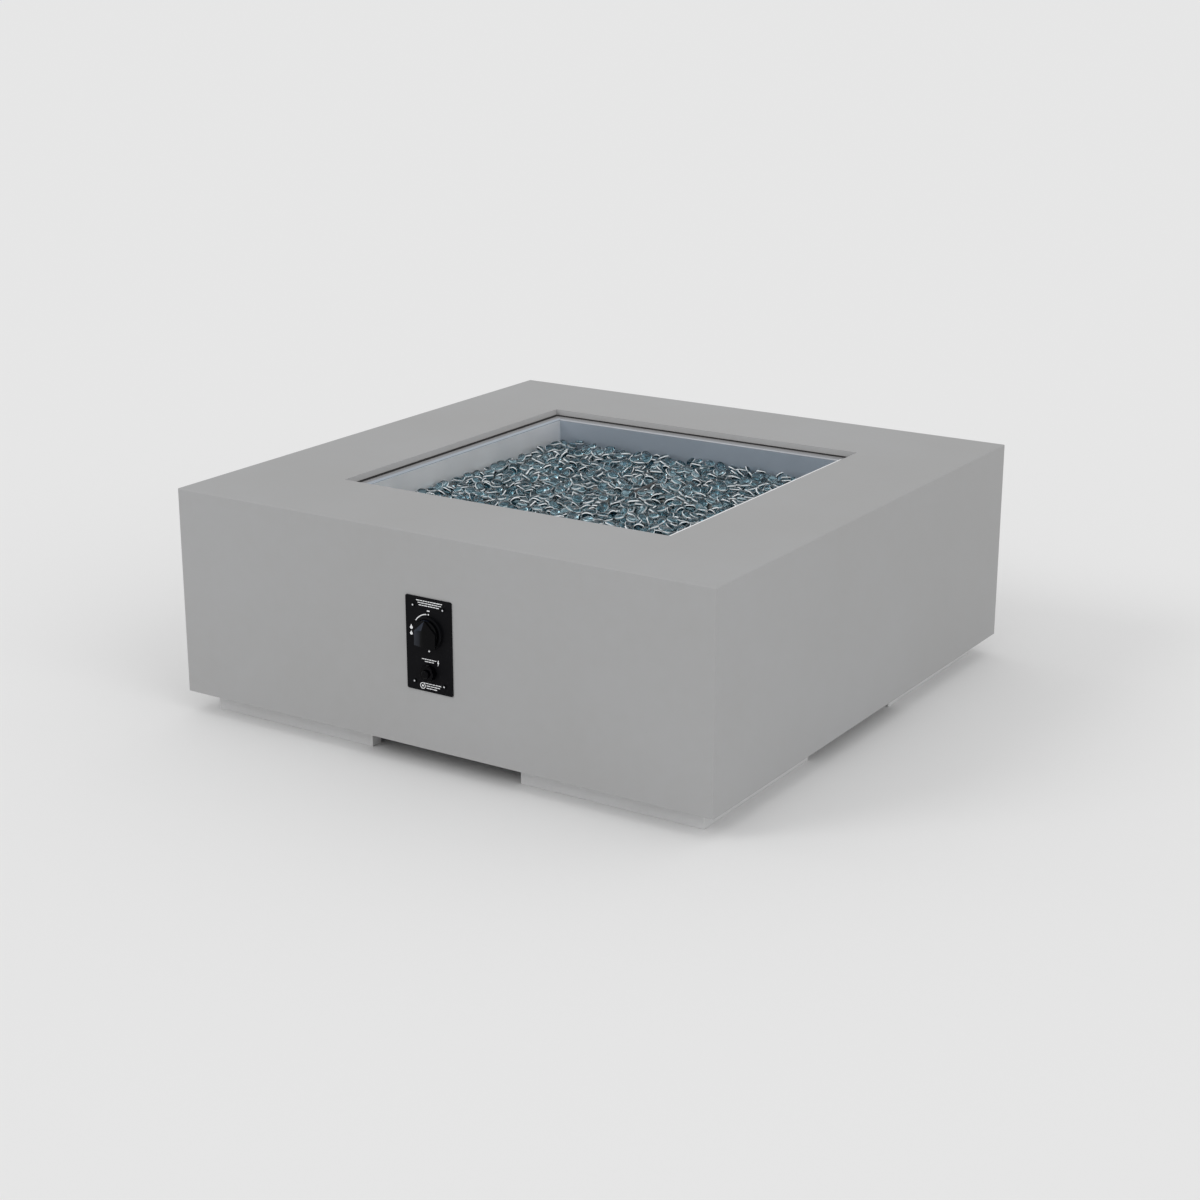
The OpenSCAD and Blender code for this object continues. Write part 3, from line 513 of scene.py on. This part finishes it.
# Fire pan: folded from brushed sheet, with rolled bends and mitred corners. Its colour is painted light and
# shade,
# set part by part and side by side: BEND_SHADES holds the painted light and shade of the bend on each side
# (right, back, left, front) and of the strip of flange beside it.
PAN_SHEET = 2 * MM
BEND = 3.2 * MM
BEND_STEPS = 6
WALL_CLEAR = 0.4 * MM
HOLE_HALF = 20 * MM
# Width of the flange strip beside the bend that takes the bend's painted light and shade
PAINTED_LIGHT_STRIP = 3.5 * MM
FLANGE_SHADE = -1.0
BEND_SHADES = (1.0, -0.75, 0.1, -0.75)
WALL_SHADES = (1.0, 0.0)
FLOOR_SHADE = 0.3


def arc_points(centre, radius, start, stop, steps):
    """Points along a flat arc, angles in degrees."""
    angles = [math.radians(start + (stop - start) * i / steps) for i in range(steps + 1)]
    return [(centre[0] + radius * math.cos(a), centre[1] + radius * math.sin(a)) for a in angles]


def pan_section():
    """The sheet's closed outline, half-width against height, from the flange's edge inwards and back."""
    wall = PAN_HALF + WALL_CLEAR
    rim = BEND - PAN_SHEET / 2
    top = [(FLANGE_HALF, FLANGE_Z), (PAN_HALF + BEND + PAINTED_LIGHT_STRIP, FLANGE_Z)]
    top += arc_points((wall + BEND, FLANGE_Z - BEND), BEND, 90, 180, BEND_STEPS)
    top += arc_points((wall - BEND, PAN_FLOOR + BEND), BEND, 0, -90, BEND_STEPS)
    top += [(HOLE_HALF, PAN_FLOOR)]
    under = [(HOLE_HALF, PAN_FLOOR - PAN_SHEET)]
    under += arc_points((wall - BEND, PAN_FLOOR + BEND), BEND + PAN_SHEET, -90, 0, BEND_STEPS)
    under += arc_points((wall + BEND, FLANGE_Z - BEND), rim, 180, 90, BEND_STEPS)
    under += [(FLANGE_HALF, FLANGE_Z - PAN_SHEET)]
    return top + under


def pan_shade(side, half, height):
    """The sheet's painted light and shade on a side (0 right, 1 back, 2 left, 3 front) at a half-width and
    height.
    """
    if half > PAN_HALF + BEND + PAINTED_LIGHT_STRIP:
        return FLANGE_SHADE
    if height > FLANGE_Z - BEND:
        return BEND_SHADES[side]
    return WALL_SHADES[side % 2] if height > PAN_FLOOR + BEND else FLOOR_SHADE


def swept_square(name, section, material, shade=lambda side, half, height: 1.0):
    """Sweeps a closed section round a square with mitred corners, with a UV map along the sheet."""
    n = len(section)
    corners = ((1, -1), (1, 1), (-1, 1), (-1, -1))
    bm = bmesh.new()
    grain = bm.loops.layers.uv.new("grain")
    tone = bm.faces.layers.float.new("shade")
    lengths = [0.0]
    for (h0, z0), (h1, z1) in zip(section, section[1:] + section[:1]):
        lengths.append(lengths[-1] + math.hypot(h1 - h0, z1 - z0))
    for side in range(4):
        ends = (corners[side], corners[(side + 1) % 4])
        rows = [[bm.verts.new((sx * h, MID_Y + sy * h, z)) for h, z in section] for sx, sy in ends]
        for i in range(n):
            j = (i + 1) % n
            face = bm.faces.new((rows[0][i], rows[1][i], rows[1][j], rows[0][j]))
            middle = [(section[i][k] + section[j][k]) / 2 for k in range(2)]
            face[tone] = shade(side, *middle)
            half = (section[i][0], section[i][0], section[j][0], section[j][0])
            across = (lengths[i], lengths[i], lengths[i + 1], lengths[i + 1])
            for k, loop in enumerate(face.loops):
                along = half[k] if k in (1, 2) else -half[k]
                loop[grain].uv = (along + 3 * side, across[k])
    bmesh.ops.remove_doubles(bm, verts=bm.verts, dist=SAME_PLACE)
    bmesh.ops.recalc_face_normals(bm, faces=bm.faces)
    for face in bm.faces:
        face.smooth = True
    mesh = bpy.data.meshes.new(name)
    bm.to_mesh(mesh)
    bm.free()
    mesh.set_sharp_from_angle(angle=math.radians(CREASE_ANGLE))
    return link_piece(name, mesh, material)


# A low black bead over the gap between the flange and the concrete, which darkens the line between them
BEAD_RISE = 1.1 * MM
BEAD_LAP = 4.5 * MM
BEAD_CLEAR = 0.1 * MM
BEAD_STEPS = 12
RECESS_GAP = 4 * MM


def bead_section():
    """The bead's closed outline: a foot in the gap, and a crown from the concrete to over the flange."""
    edge, outer = FLANGE_HALF + BEAD_CLEAR, FLANGE_HALF + RECESS_GAP - BEAD_CLEAR
    inner, bed = FLANGE_HALF - BEAD_LAP, FLANGE_Z + BEAD_CLEAR
    foot = FLANGE_Z - PAN_SHEET + BEAD_CLEAR
    crown = []
    for k in range(BEAD_STEPS + 1):
        turn = math.pi * k / BEAD_STEPS
        half = (outer + inner) / 2 + (outer - inner) / 2 * math.cos(turn)
        crown.append((half, bed + (BEAD_RISE - BEAD_CLEAR) * math.sin(turn) ** 0.6))
    return [(edge, bed), (edge, foot), (outer, foot)] + crown


# Glass: gems dropped one by one on a height map, each coming to rest at the lowest of a few places
GEM_SEED = 7
GEM_COUNT = 3000
GEM_WIDTH = (17 * MM, 22.5 * MM)
GEM_FLAT_SHARE = (0.46, 0.60)
GEM_TRIES = 5
GEM_LEAN = 60
FULL_TURN = 6.283
GEMS_BY_GUARD = 120
TRIES_BY_GUARD = 80
SIZE_BY_GUARD = 0.8
CELL = 1.5 * MM
PILE_BASE = GLASS_Z - 12 * MM
PILE_TOP = GLASS_Z + 17 * MM
GEM_SIDES = 16
GEM_LATITUDES = (-62, -32, -8, 8, 32, 54, 74)
GEM_UNDER = 0.42
GEM_OVER = 0.58
GEM_ROUND = 0.72
# Latitudes that bound the rim's painted reflection and the painted dark line inside it
RIM_LATITUDE = 15
LINE_LATITUDE = 40
GEM_SIZES = (0.94, 1.0)
GEM_BEND = 0.07
GEM_WAVES = (1.5, 3)
PILE_PARTS = 4
BED_CELLS = 120
BED_LUMPS = 3 * MM
BED_LIFT = 0.2 * MM

# The guard's ridge stays in sight: no gem before it rises into the camera's view of it
RIDGE_SHOWS = 2.4 * MM
RIDGE_CLEAR = 45 * MM


def gem_shape():
    """A flattened drop of glass, two wide and one thick in its own units: rounder above than below.

    Gives its points, its triangles and how much each point belongs to the rim's painted pale reflection, or
    below zero to the painted dark line of shade inside it."""
    points, rim = [(0, 0, -GEM_UNDER)], [0]
    for ring, latitude in enumerate(GEM_LATITUDES):
        a = math.radians(latitude)
        radius = math.cos(a) ** GEM_ROUND
        z = (GEM_UNDER if a < 0 else GEM_OVER) * math.sin(a)
        inside_rim = -1.0 if abs(latitude) < LINE_LATITUDE else 0.0
        for k in range(GEM_SIDES):
            turn = 2 * math.pi * (k + 0.5 * (ring % 2)) / GEM_SIDES
            points.append((radius * math.cos(turn), radius * math.sin(turn), z))
            rim.append(1.0 if abs(latitude) < RIM_LATITUDE else inside_rim)
    points.append((0, 0, GEM_OVER))
    rim.append(0)
    faces = [(0, 1 + (k + 1) % GEM_SIDES, 1 + k) for k in range(GEM_SIDES)]
    for ring in range(len(GEM_LATITUDES) - 1):
        first = 1 + ring * GEM_SIDES
        for k in range(GEM_SIDES):
            a, b = first + k, first + (k + 1) % GEM_SIDES
            c, d = a + GEM_SIDES, b + GEM_SIDES
            faces += [(a, b, d), (a, d, c)] if ring % 2 else [(a, b, c), (b, d, c)]
    last, tip = 1 + (len(GEM_LATITUDES) - 1) * GEM_SIDES, len(points) - 1
    faces += [(last + k, last + (k + 1) % GEM_SIDES, tip) for k in range(GEM_SIDES)]
    return np.array(points), np.array(faces), np.array(rim)


def turn_matrix(spin, lean, heading):
    """A turn of spin about Z, then a lean of the flat face towards heading."""
    about = Matrix.Rotation(heading, 3, "Z") @ Matrix.Rotation(lean, 3, "X")
    return np.array(about @ Matrix.Rotation(spin, 3, "Z"))


def lay_gems(draw):
    """Where each gem lies, in the order laid: (centre, turn, half-width, half-thickness).

    A gem takes the lowest of a few random places where it stays under the limit, or is left out.
    Every other gem beside the guard takes the place where it comes nearest to the limit instead.
    """
    size = int(2 * PAN_HALF / CELL)
    centre_x = (np.arange(size) + 0.5) * CELL - PAN_HALF
    surface, limit = guard_heights(centre_x)
    laid = []
    reach = PAN_HALF - GEM_WIDTH[1] / 2
    anywhere = ((-reach, reach), (-reach, reach))
    ridge = (guard_low.x + guard_high.x) / 2
    by_guard = ((ridge + RIDGE_SHOWS, guard_high.x + RIDGE_SHOWS),
                (guard_low.y - MID_Y, guard_high.y - MID_Y))
    for index in range(GEM_COUNT + GEMS_BY_GUARD):
        covering = index >= GEM_COUNT
        across, along = by_guard if covering else anywhere
        wide = draw.uniform(*GEM_WIDTH) / 2 * (SIZE_BY_GUARD if covering else 1)
        thick = wide * draw.uniform(*GEM_FLAT_SHARE)
        best = None
        for _ in range(TRIES_BY_GUARD if covering else GEM_TRIES):
            x, y = draw.uniform(*across), draw.uniform(*along)
            lean = math.radians(GEM_LEAN) * draw.uniform() ** 0.7
            turn = turn_matrix(draw.uniform(0, FULL_TURN), lean, draw.uniform(0, FULL_TURN))
            i0, i1 = np.searchsorted(centre_x, (x - wide, x + wide))
            j0, j1 = np.searchsorted(centre_x, (y - wide, y + wide))
            dx = (centre_x[i0:i1, None] - x) / wide
            dy = (centre_x[None, j0:j1] - y) / wide
            low, high, inside = gem_heights(dx, dy, turn, thick / wide)
            floor = surface[i0:i1, j0:j1]
            z = np.max(np.where(inside, floor - low * wide, -1))
            top = z + high * wide
            room = np.min(np.where(inside, limit[i0:i1, j0:j1] - top, 1))
            rank = room if covering and index % 2 else z
            if room >= 0 and (best is None or rank < best[0]):
                best = (rank, x, y, z, turn, floor, top, inside)
        if best is None:
            continue
        _, x, y, z, turn, patch, top, inside = best
        patch[inside] = np.maximum(patch[inside], top[inside])
        laid.append((np.array((x, y + MID_Y, z)), turn, wide, thick))
    return laid


def guard_heights(side):
    """The surface that the first gems fall on, with the guard's tent in it, and how high gems may rise."""
    x, y = np.meshgrid(side, side + MID_Y, indexing="ij")
    middle = (guard_low.x + guard_high.x) / 2
    half = (guard_high.x - guard_low.x) / 2
    tent = guard_high.z - (guard_high.z - guard_low.z) * np.abs(x - middle) / half
    under = (y > guard_low.y) & (y < guard_high.y)
    surface = np.where(under, np.maximum(tent, PILE_BASE), PILE_BASE)
    before = (x - middle) / math.sin(AZIMUTH)
    ends = y + before * math.cos(AZIMUTH)
    in_sight = (before > 0) & (before < 2 * RIDGE_CLEAR) & (ends > guard_low.y) & (ends < guard_high.y)
    in_sight |= (before > -RIDGE_CLEAR / 4) & (before <= 0) & (y > guard_low.y) & (y < guard_high.y)
    view = guard_high.z - RIDGE_SHOWS + np.maximum(before, 0) * math.tan(ELEVATION)
    return surface, np.where(in_sight, np.minimum(view, PILE_TOP), PILE_TOP)


def gem_heights(dx, dy, turn, flat):
    """Lower and upper surface, over a grid, of a tilted ellipsoid: half-width 1, half-thickness flat."""
    shape = turn @ np.diag((1, 1, flat ** 2)) @ turn.T
    inverse = np.linalg.inv(shape)
    a = inverse[2, 2]
    b = 2 * (inverse[0, 2] * dx + inverse[1, 2] * dy)
    c = inverse[0, 0] * dx * dx + inverse[1, 1] * dy * dy + 2 * inverse[0, 1] * dx * dy - 1
    root = b * b - 4 * a * c
    inside = root > 0
    spread = np.sqrt(np.where(inside, root, 0)) / (2 * a)
    middle = -b / (2 * a)
    return middle - spread, middle + spread, inside


def make_glass(material, bed_material):
    draw = np.random.default_rng(GEM_SEED)
    shape, faces, rim = gem_shape()
    laid = lay_gems(draw)
    share = -(-len(laid) // PILE_PARTS)
    laid.sort(key=lambda gem: (gem[0][0], gem[0][1]))
    for part in range(PILE_PARTS):
        some = laid[part * share:(part + 1) * share]
        points, tris, tones = [], [], []
        for index, (centre, turn, wide, thick) in enumerate(some):
            grown = shape * (wide, wide, 2 * thick) * draw.uniform(*GEM_SIZES, 3)
            waves = np.sin(grown[:, [1, 2, 0]] / wide * draw.uniform(*GEM_WAVES, 3))
            bent = grown + GEM_BEND * wide * waves
            points.append(bent @ turn.T + centre)
            tris.append(faces + index * len(shape))
            tones.append(np.full(len(shape), draw.uniform()))
        mesh = bpy.data.meshes.new(f"glass_gems_{part + 1}")
        mesh.from_pydata(np.concatenate(points).tolist(), [], np.concatenate(tris).tolist())
        mesh.update()
        mesh.shade_smooth()
        for key, values in (("tone", np.concatenate(tones)), ("rim", np.tile(rim, len(some)))):
            mesh.attributes.new(key, "FLOAT", "POINT").data.foreach_set("value", values.astype(np.float32))
        piece = link_piece(mesh.name, mesh, material)
        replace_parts(piece, "glass_gems")
    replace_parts(make_bed(bed_material), "glass_bed")


def make_bed(material):
    """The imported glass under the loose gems, as one lumpy sheet with a skirt."""
    cells = BED_CELLS
    side = np.linspace(-PAN_HALF, PAN_HALF, cells + 1)
    x, y = np.meshgrid(side, side, indexing="ij")
    lumps = np.sin(x * 260 + 2 * np.sin(y * 90)) * np.sin(y * 240 + 2 * np.sin(x * 110))
    z = PILE_BASE + BED_LUMPS * lumps
    top = np.stack((x, y + MID_Y, z), -1).reshape(-1, 3)
    low = top.copy()
    low[:, 2] = PAN_FLOOR + BED_LIFT
    row = cells + 1
    count = row * row
    faces = []
    for i in range(cells):
        for j in range(cells):
            a, b = i * row + j, (i + 1) * row + j
            c, d = b + 1, a + 1
            faces += [(a, b, c, d), (a + count, d + count, c + count, b + count)]
    edge = [i * row for i in range(row)] + [cells * row + j for j in range(1, row)]
    edge += [i * row + cells for i in range(cells - 1, -1, -1)] + [j for j in range(cells - 1, 0, -1)]
    for a, b in zip(edge, edge[1:] + edge[:1]):
        faces.append((b, a, a + count, b + count))
    return mesh_object("packed_glass", np.concatenate((top, low)), faces, material)


# Print on the panel: generic marks round the knob and beside the button, in the panel's millimetres
PRINT_LIFT = 0.06 * MM
PRINT_SINK = 0.02 * MM
PRINT_SEED = 5
DIAL = (0, 21.5)
DIAL_R = 31
SWEEP = (97, 146)
SWEEP_HALF = 0.8
SWEEP_STEPS = 24
RING_STEPS = 14
DISC_STEPS = 20
DROP_STEPS = 24
DROPS = ((-35, 25.5, 3.1), (-35.3, 15.3, 2.8))
ROUND_MARK = (-14.5, -71)
BOLT = (
    (17.4, -22.5), (19.0, -22.5), (18.1, -26.2), (19.6, -26.2),
    (16.8, -33), (17.3, -27.6), (15.9, -27.6),
)
BAR_HEIGHT = 1.35
BAR_HEIGHTS = (0.85, 1.1)
BAR_LENGTHS = (3.0, 7.5)
BAR_GAP = 0.9
BAR_LEAST = 2
PRINT_ROWS = (
    (-24, 28, 74), (-21, 26, 70.2), (-19, 24, 66.4),
    (-15, 14, -24.5), (-9, 9, -28.3),
    (-13, 23, -66.2), (-7, 20, -70.2), (-7, 15, -74.2),
)


def on_plate(x, z, lift):
    return Vector((PLATE_X + x * MM, PLATE_Y - lift, PLATE_Z + z * MM))


def flat_print(name, outlines, material):
    """Thin closed outlines of print, each a list of (x, z) on the panel."""
    bm = bmesh.new()
    for outline in outlines:
        front = [bm.verts.new(on_plate(x, z, PRINT_LIFT)) for x, z in outline]
        back = [bm.verts.new(on_plate(x, z, -PRINT_SINK)) for x, z in outline]
        bm.faces.new(front)
        for i in range(len(front)):
            j = (i + 1) % len(front)
            bm.faces.new((front[i], back[i], back[j], front[j]))
    bmesh.ops.recalc_face_normals(bm, faces=bm.faces)
    mesh = bpy.data.meshes.new(name)
    bm.to_mesh(mesh)
    bm.free()
    return link_piece(name, mesh, material)


def disc(x, z, r):
    return arc_points((x, z), r, 0, 360, DISC_STEPS)[:-1]


def band(x, z, r_in, r_out, start, stop, steps):
    """A strip along an arc, angles in degrees."""
    outer = arc_points((x, z), r_out, start, stop, steps)
    return outer + arc_points((x, z), r_in, start, stop, steps)[::-1]


def ring_halves(x, z, r_in, r_out):
    """A ring as two half bands."""
    return [band(x, z, r_in, r_out, start, start + 180, RING_STEPS) for start in (0, 180)]


def bar(x0, x1, z, h):
    return [(x0, z - h / 2), (x1, z - h / 2), (x1, z + h / 2), (x0, z + h / 2)]


def row(draw, x0, x1, z):
    """A row of short bars of uneven length, with narrow gaps."""
    bars = []
    while x1 - x0 > BAR_LEAST:
        end = min(x1, x0 + draw.uniform(*BAR_LENGTHS))
        bars.append(bar(x0, end, z, BAR_HEIGHT * draw.uniform(*BAR_HEIGHTS)))
        x0 = end + BAR_GAP
    return bars


def drop(x, z, size):
    """A small flame-like drop, its point up."""
    outline = []
    for k in range(DROP_STEPS):
        a = 2 * math.pi * k / DROP_STEPS
        over = max(0, math.sin(a))
        reach = size * (1 - 0.45 * over ** 3)
        outline.append((x + reach * math.cos(a) * (1 - 0.35 * over),
                        z + size * (math.sin(a) + 0.75 * over ** 6)))
    return outline


def make_print(material):
    """An arc, two dots and a bar round the knob, drops, rows of bars, a bolt and a ringed dot."""
    x, z = DIAL
    marks = [band(x, z, DIAL_R - SWEEP_HALF, DIAL_R + SWEEP_HALF, *SWEEP, SWEEP_STEPS)]
    marks += [disc(x, z + DIAL_R, 1.3), disc(x, z - DIAL_R, 1.7), bar(-2.6, 2.6, z + DIAL_R + 6, 1.8)]
    marks += [drop(*place) for place in DROPS]
    draw = np.random.default_rng(PRINT_SEED)
    for x0, x1, level in PRINT_ROWS:
        marks += row(draw, x0, x1, level)
    marks += [BOLT, disc(*ROUND_MARK, 1.8), *ring_halves(*ROUND_MARK, 4.3, 5.4)]
    flat_print("panel_print", marks, material)


# The whole table
FEET = ("foot_front_left", "foot_front_right", "foot_back_left", "foot_back_right")
STONE_LEVEL = 0.382
# The feet are painted much paler than the shell: painted light against the shade under the shell
FOOT_PAINTED_LIGHT_LEVEL = 0.64
# How much paler the recess is painted, as painted light against its shade
RECESS_PAINTED_LIGHT = 1.3
# Pan sheet colours: a painted shade, a painted light, and the flange's painted shade
STEEL_PAINTED_SHADE = (0.385, 0.44, 0.505)
STEEL_PAINTED_LIGHT = (0.90, 0.905, 0.915)
STEEL_FLANGE_PAINTED_SHADE = (0.37, 0.37, 0.38)


def main():
    make_camera()
    make_world()
    make_sun("key", azimuth=-38, elevation=35, level=0.16, spread=24)
    make_sun("fill", azimuth=75, elevation=30, level=0.13, spread=40)
    make_floor()

    paint(concrete_look("cast_concrete", STONE_LEVEL, cloud=0.35, recess=RECESS_PAINTED_LIGHT), "body_shell")
    paint(concrete_look("foot_concrete_painted_light", FOOT_PAINTED_LIGHT_LEVEL, cloud=0.22), *FEET)
    soften(nodes["body_shell"], 1.3 * MM, segments=3)
    for name in FEET:
        soften(nodes[name], 1.6 * MM, segments=3)

    pan_steel_painted_light_and_shade = steel_look(
        "pan_steel_painted_light_and_shade", STEEL_PAINTED_SHADE, STEEL_PAINTED_LIGHT, STEEL_FLANGE_PAINTED_SHADE, rough=0.42, brush=0.30
    )
    pan = swept_square("folded_pan", pan_section(), pan_steel_painted_light_and_shade, pan_shade)
    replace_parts(pan, "fire_pan")
    black_bead_material = plastic_look("black_bead_material", (0.024, 0.022, 0.022), 0.7, shine=0.15)
    swept_square("black_bead", bead_section(), black_bead_material)
    make_glass(glass_look("fire_glass"), bed_look("glass_shadow"))

    powder = plastic_look("panel_powder", (0.004, 0.004, 0.005), 0.5, scuff=0.04, shine=0.06)
    gloss_black = plastic_look("igniter_plastic", BLACK, 0.12, scuff=0.03, shine=0.07)
    paint(powder, "control_panel", "knob_bezel")
    paint(knob_look("knob_plastic"), "control_knob")
    paint(gloss_black, "igniter_ring", "igniter_button", "igniter_barrel")
    make_print(print_look("print_white"))
    for name, width in (("control_panel", 0.4), ("knob_bezel", 0.5), ("control_knob", 0.5),
                        ("igniter_ring", 0.4), ("igniter_button", 0.6), ("spark_guard", 0.3)):
        soften(nodes[name], width * MM)

    zinc = metal_look("zinc_plate", (0.62, 0.63, 0.64), 0.34)
    brass = metal_look("brass", (0.72, 0.52, 0.24), 0.30)
    steel = metal_look("spring_steel", (0.55, 0.56, 0.58), 0.28)
    cast = metal_look("cast_zinc", (0.50, 0.51, 0.52), 0.48, depth=0.2 * MM)
    burner_steel = metal_look("burner_steel", (0.30, 0.285, 0.27), 0.42, mottle=30 * MM)
    guard_steel = metal_look("guard_steel", (0.115, 0.113, 0.115), 0.42, mottle=20 * MM)
    copper = metal_look("copper", (0.75, 0.42, 0.28), 0.32)
    rubber = plastic_look("rubber", (0.012, 0.012, 0.013), 0.6)
    ceramic = plastic_look("ceramic", (0.74, 0.72, 0.66), 0.25)
    nylon = plastic_look("nylon", (0.42, 0.42, 0.40), 0.45)
    cell = plastic_look("battery_case", (0.20, 0.21, 0.23), 0.3)

    paint(zinc, "foot_screws", "pan_nut", "air_mixer", "valve_screws", "spring_cup", "pilot_bracket",
          "bracket_screws")
    paint(brass, "burner_nipple", "gas_orifice", "hose_nuts", "outlet_elbow", "inlet_elbow", "thermocouple")
    paint(steel, "valve_stem", "stem_spring", "igniter_spring", "electrode_rod", "burner_hose")
    paint(cast, "gas_valve")
    screw_low, screw_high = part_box("panel_screws")
    across = (screw_high.x - screw_low.x) / 2 - SCREW_HEAD_R
    up = (screw_high.z - screw_low.z) / 2 - SCREW_HEAD_R
    paint(screw_look("panel_screw", across, up, SCREW_GLINT_R), "panel_screws")
    paint(burner_steel, "burner")
    paint(guard_steel, "spark_guard")
    paint(copper, "thermocouple_lead")
    paint(rubber, "pan_gasket", "igniter_lead")
    paint(ceramic, "electrode_insulator")
    paint(nylon, "wall_plugs")
    paint(cell, "igniter_battery")

    bpy.context.scene.view_settings.view_transform = "Standard"


main()
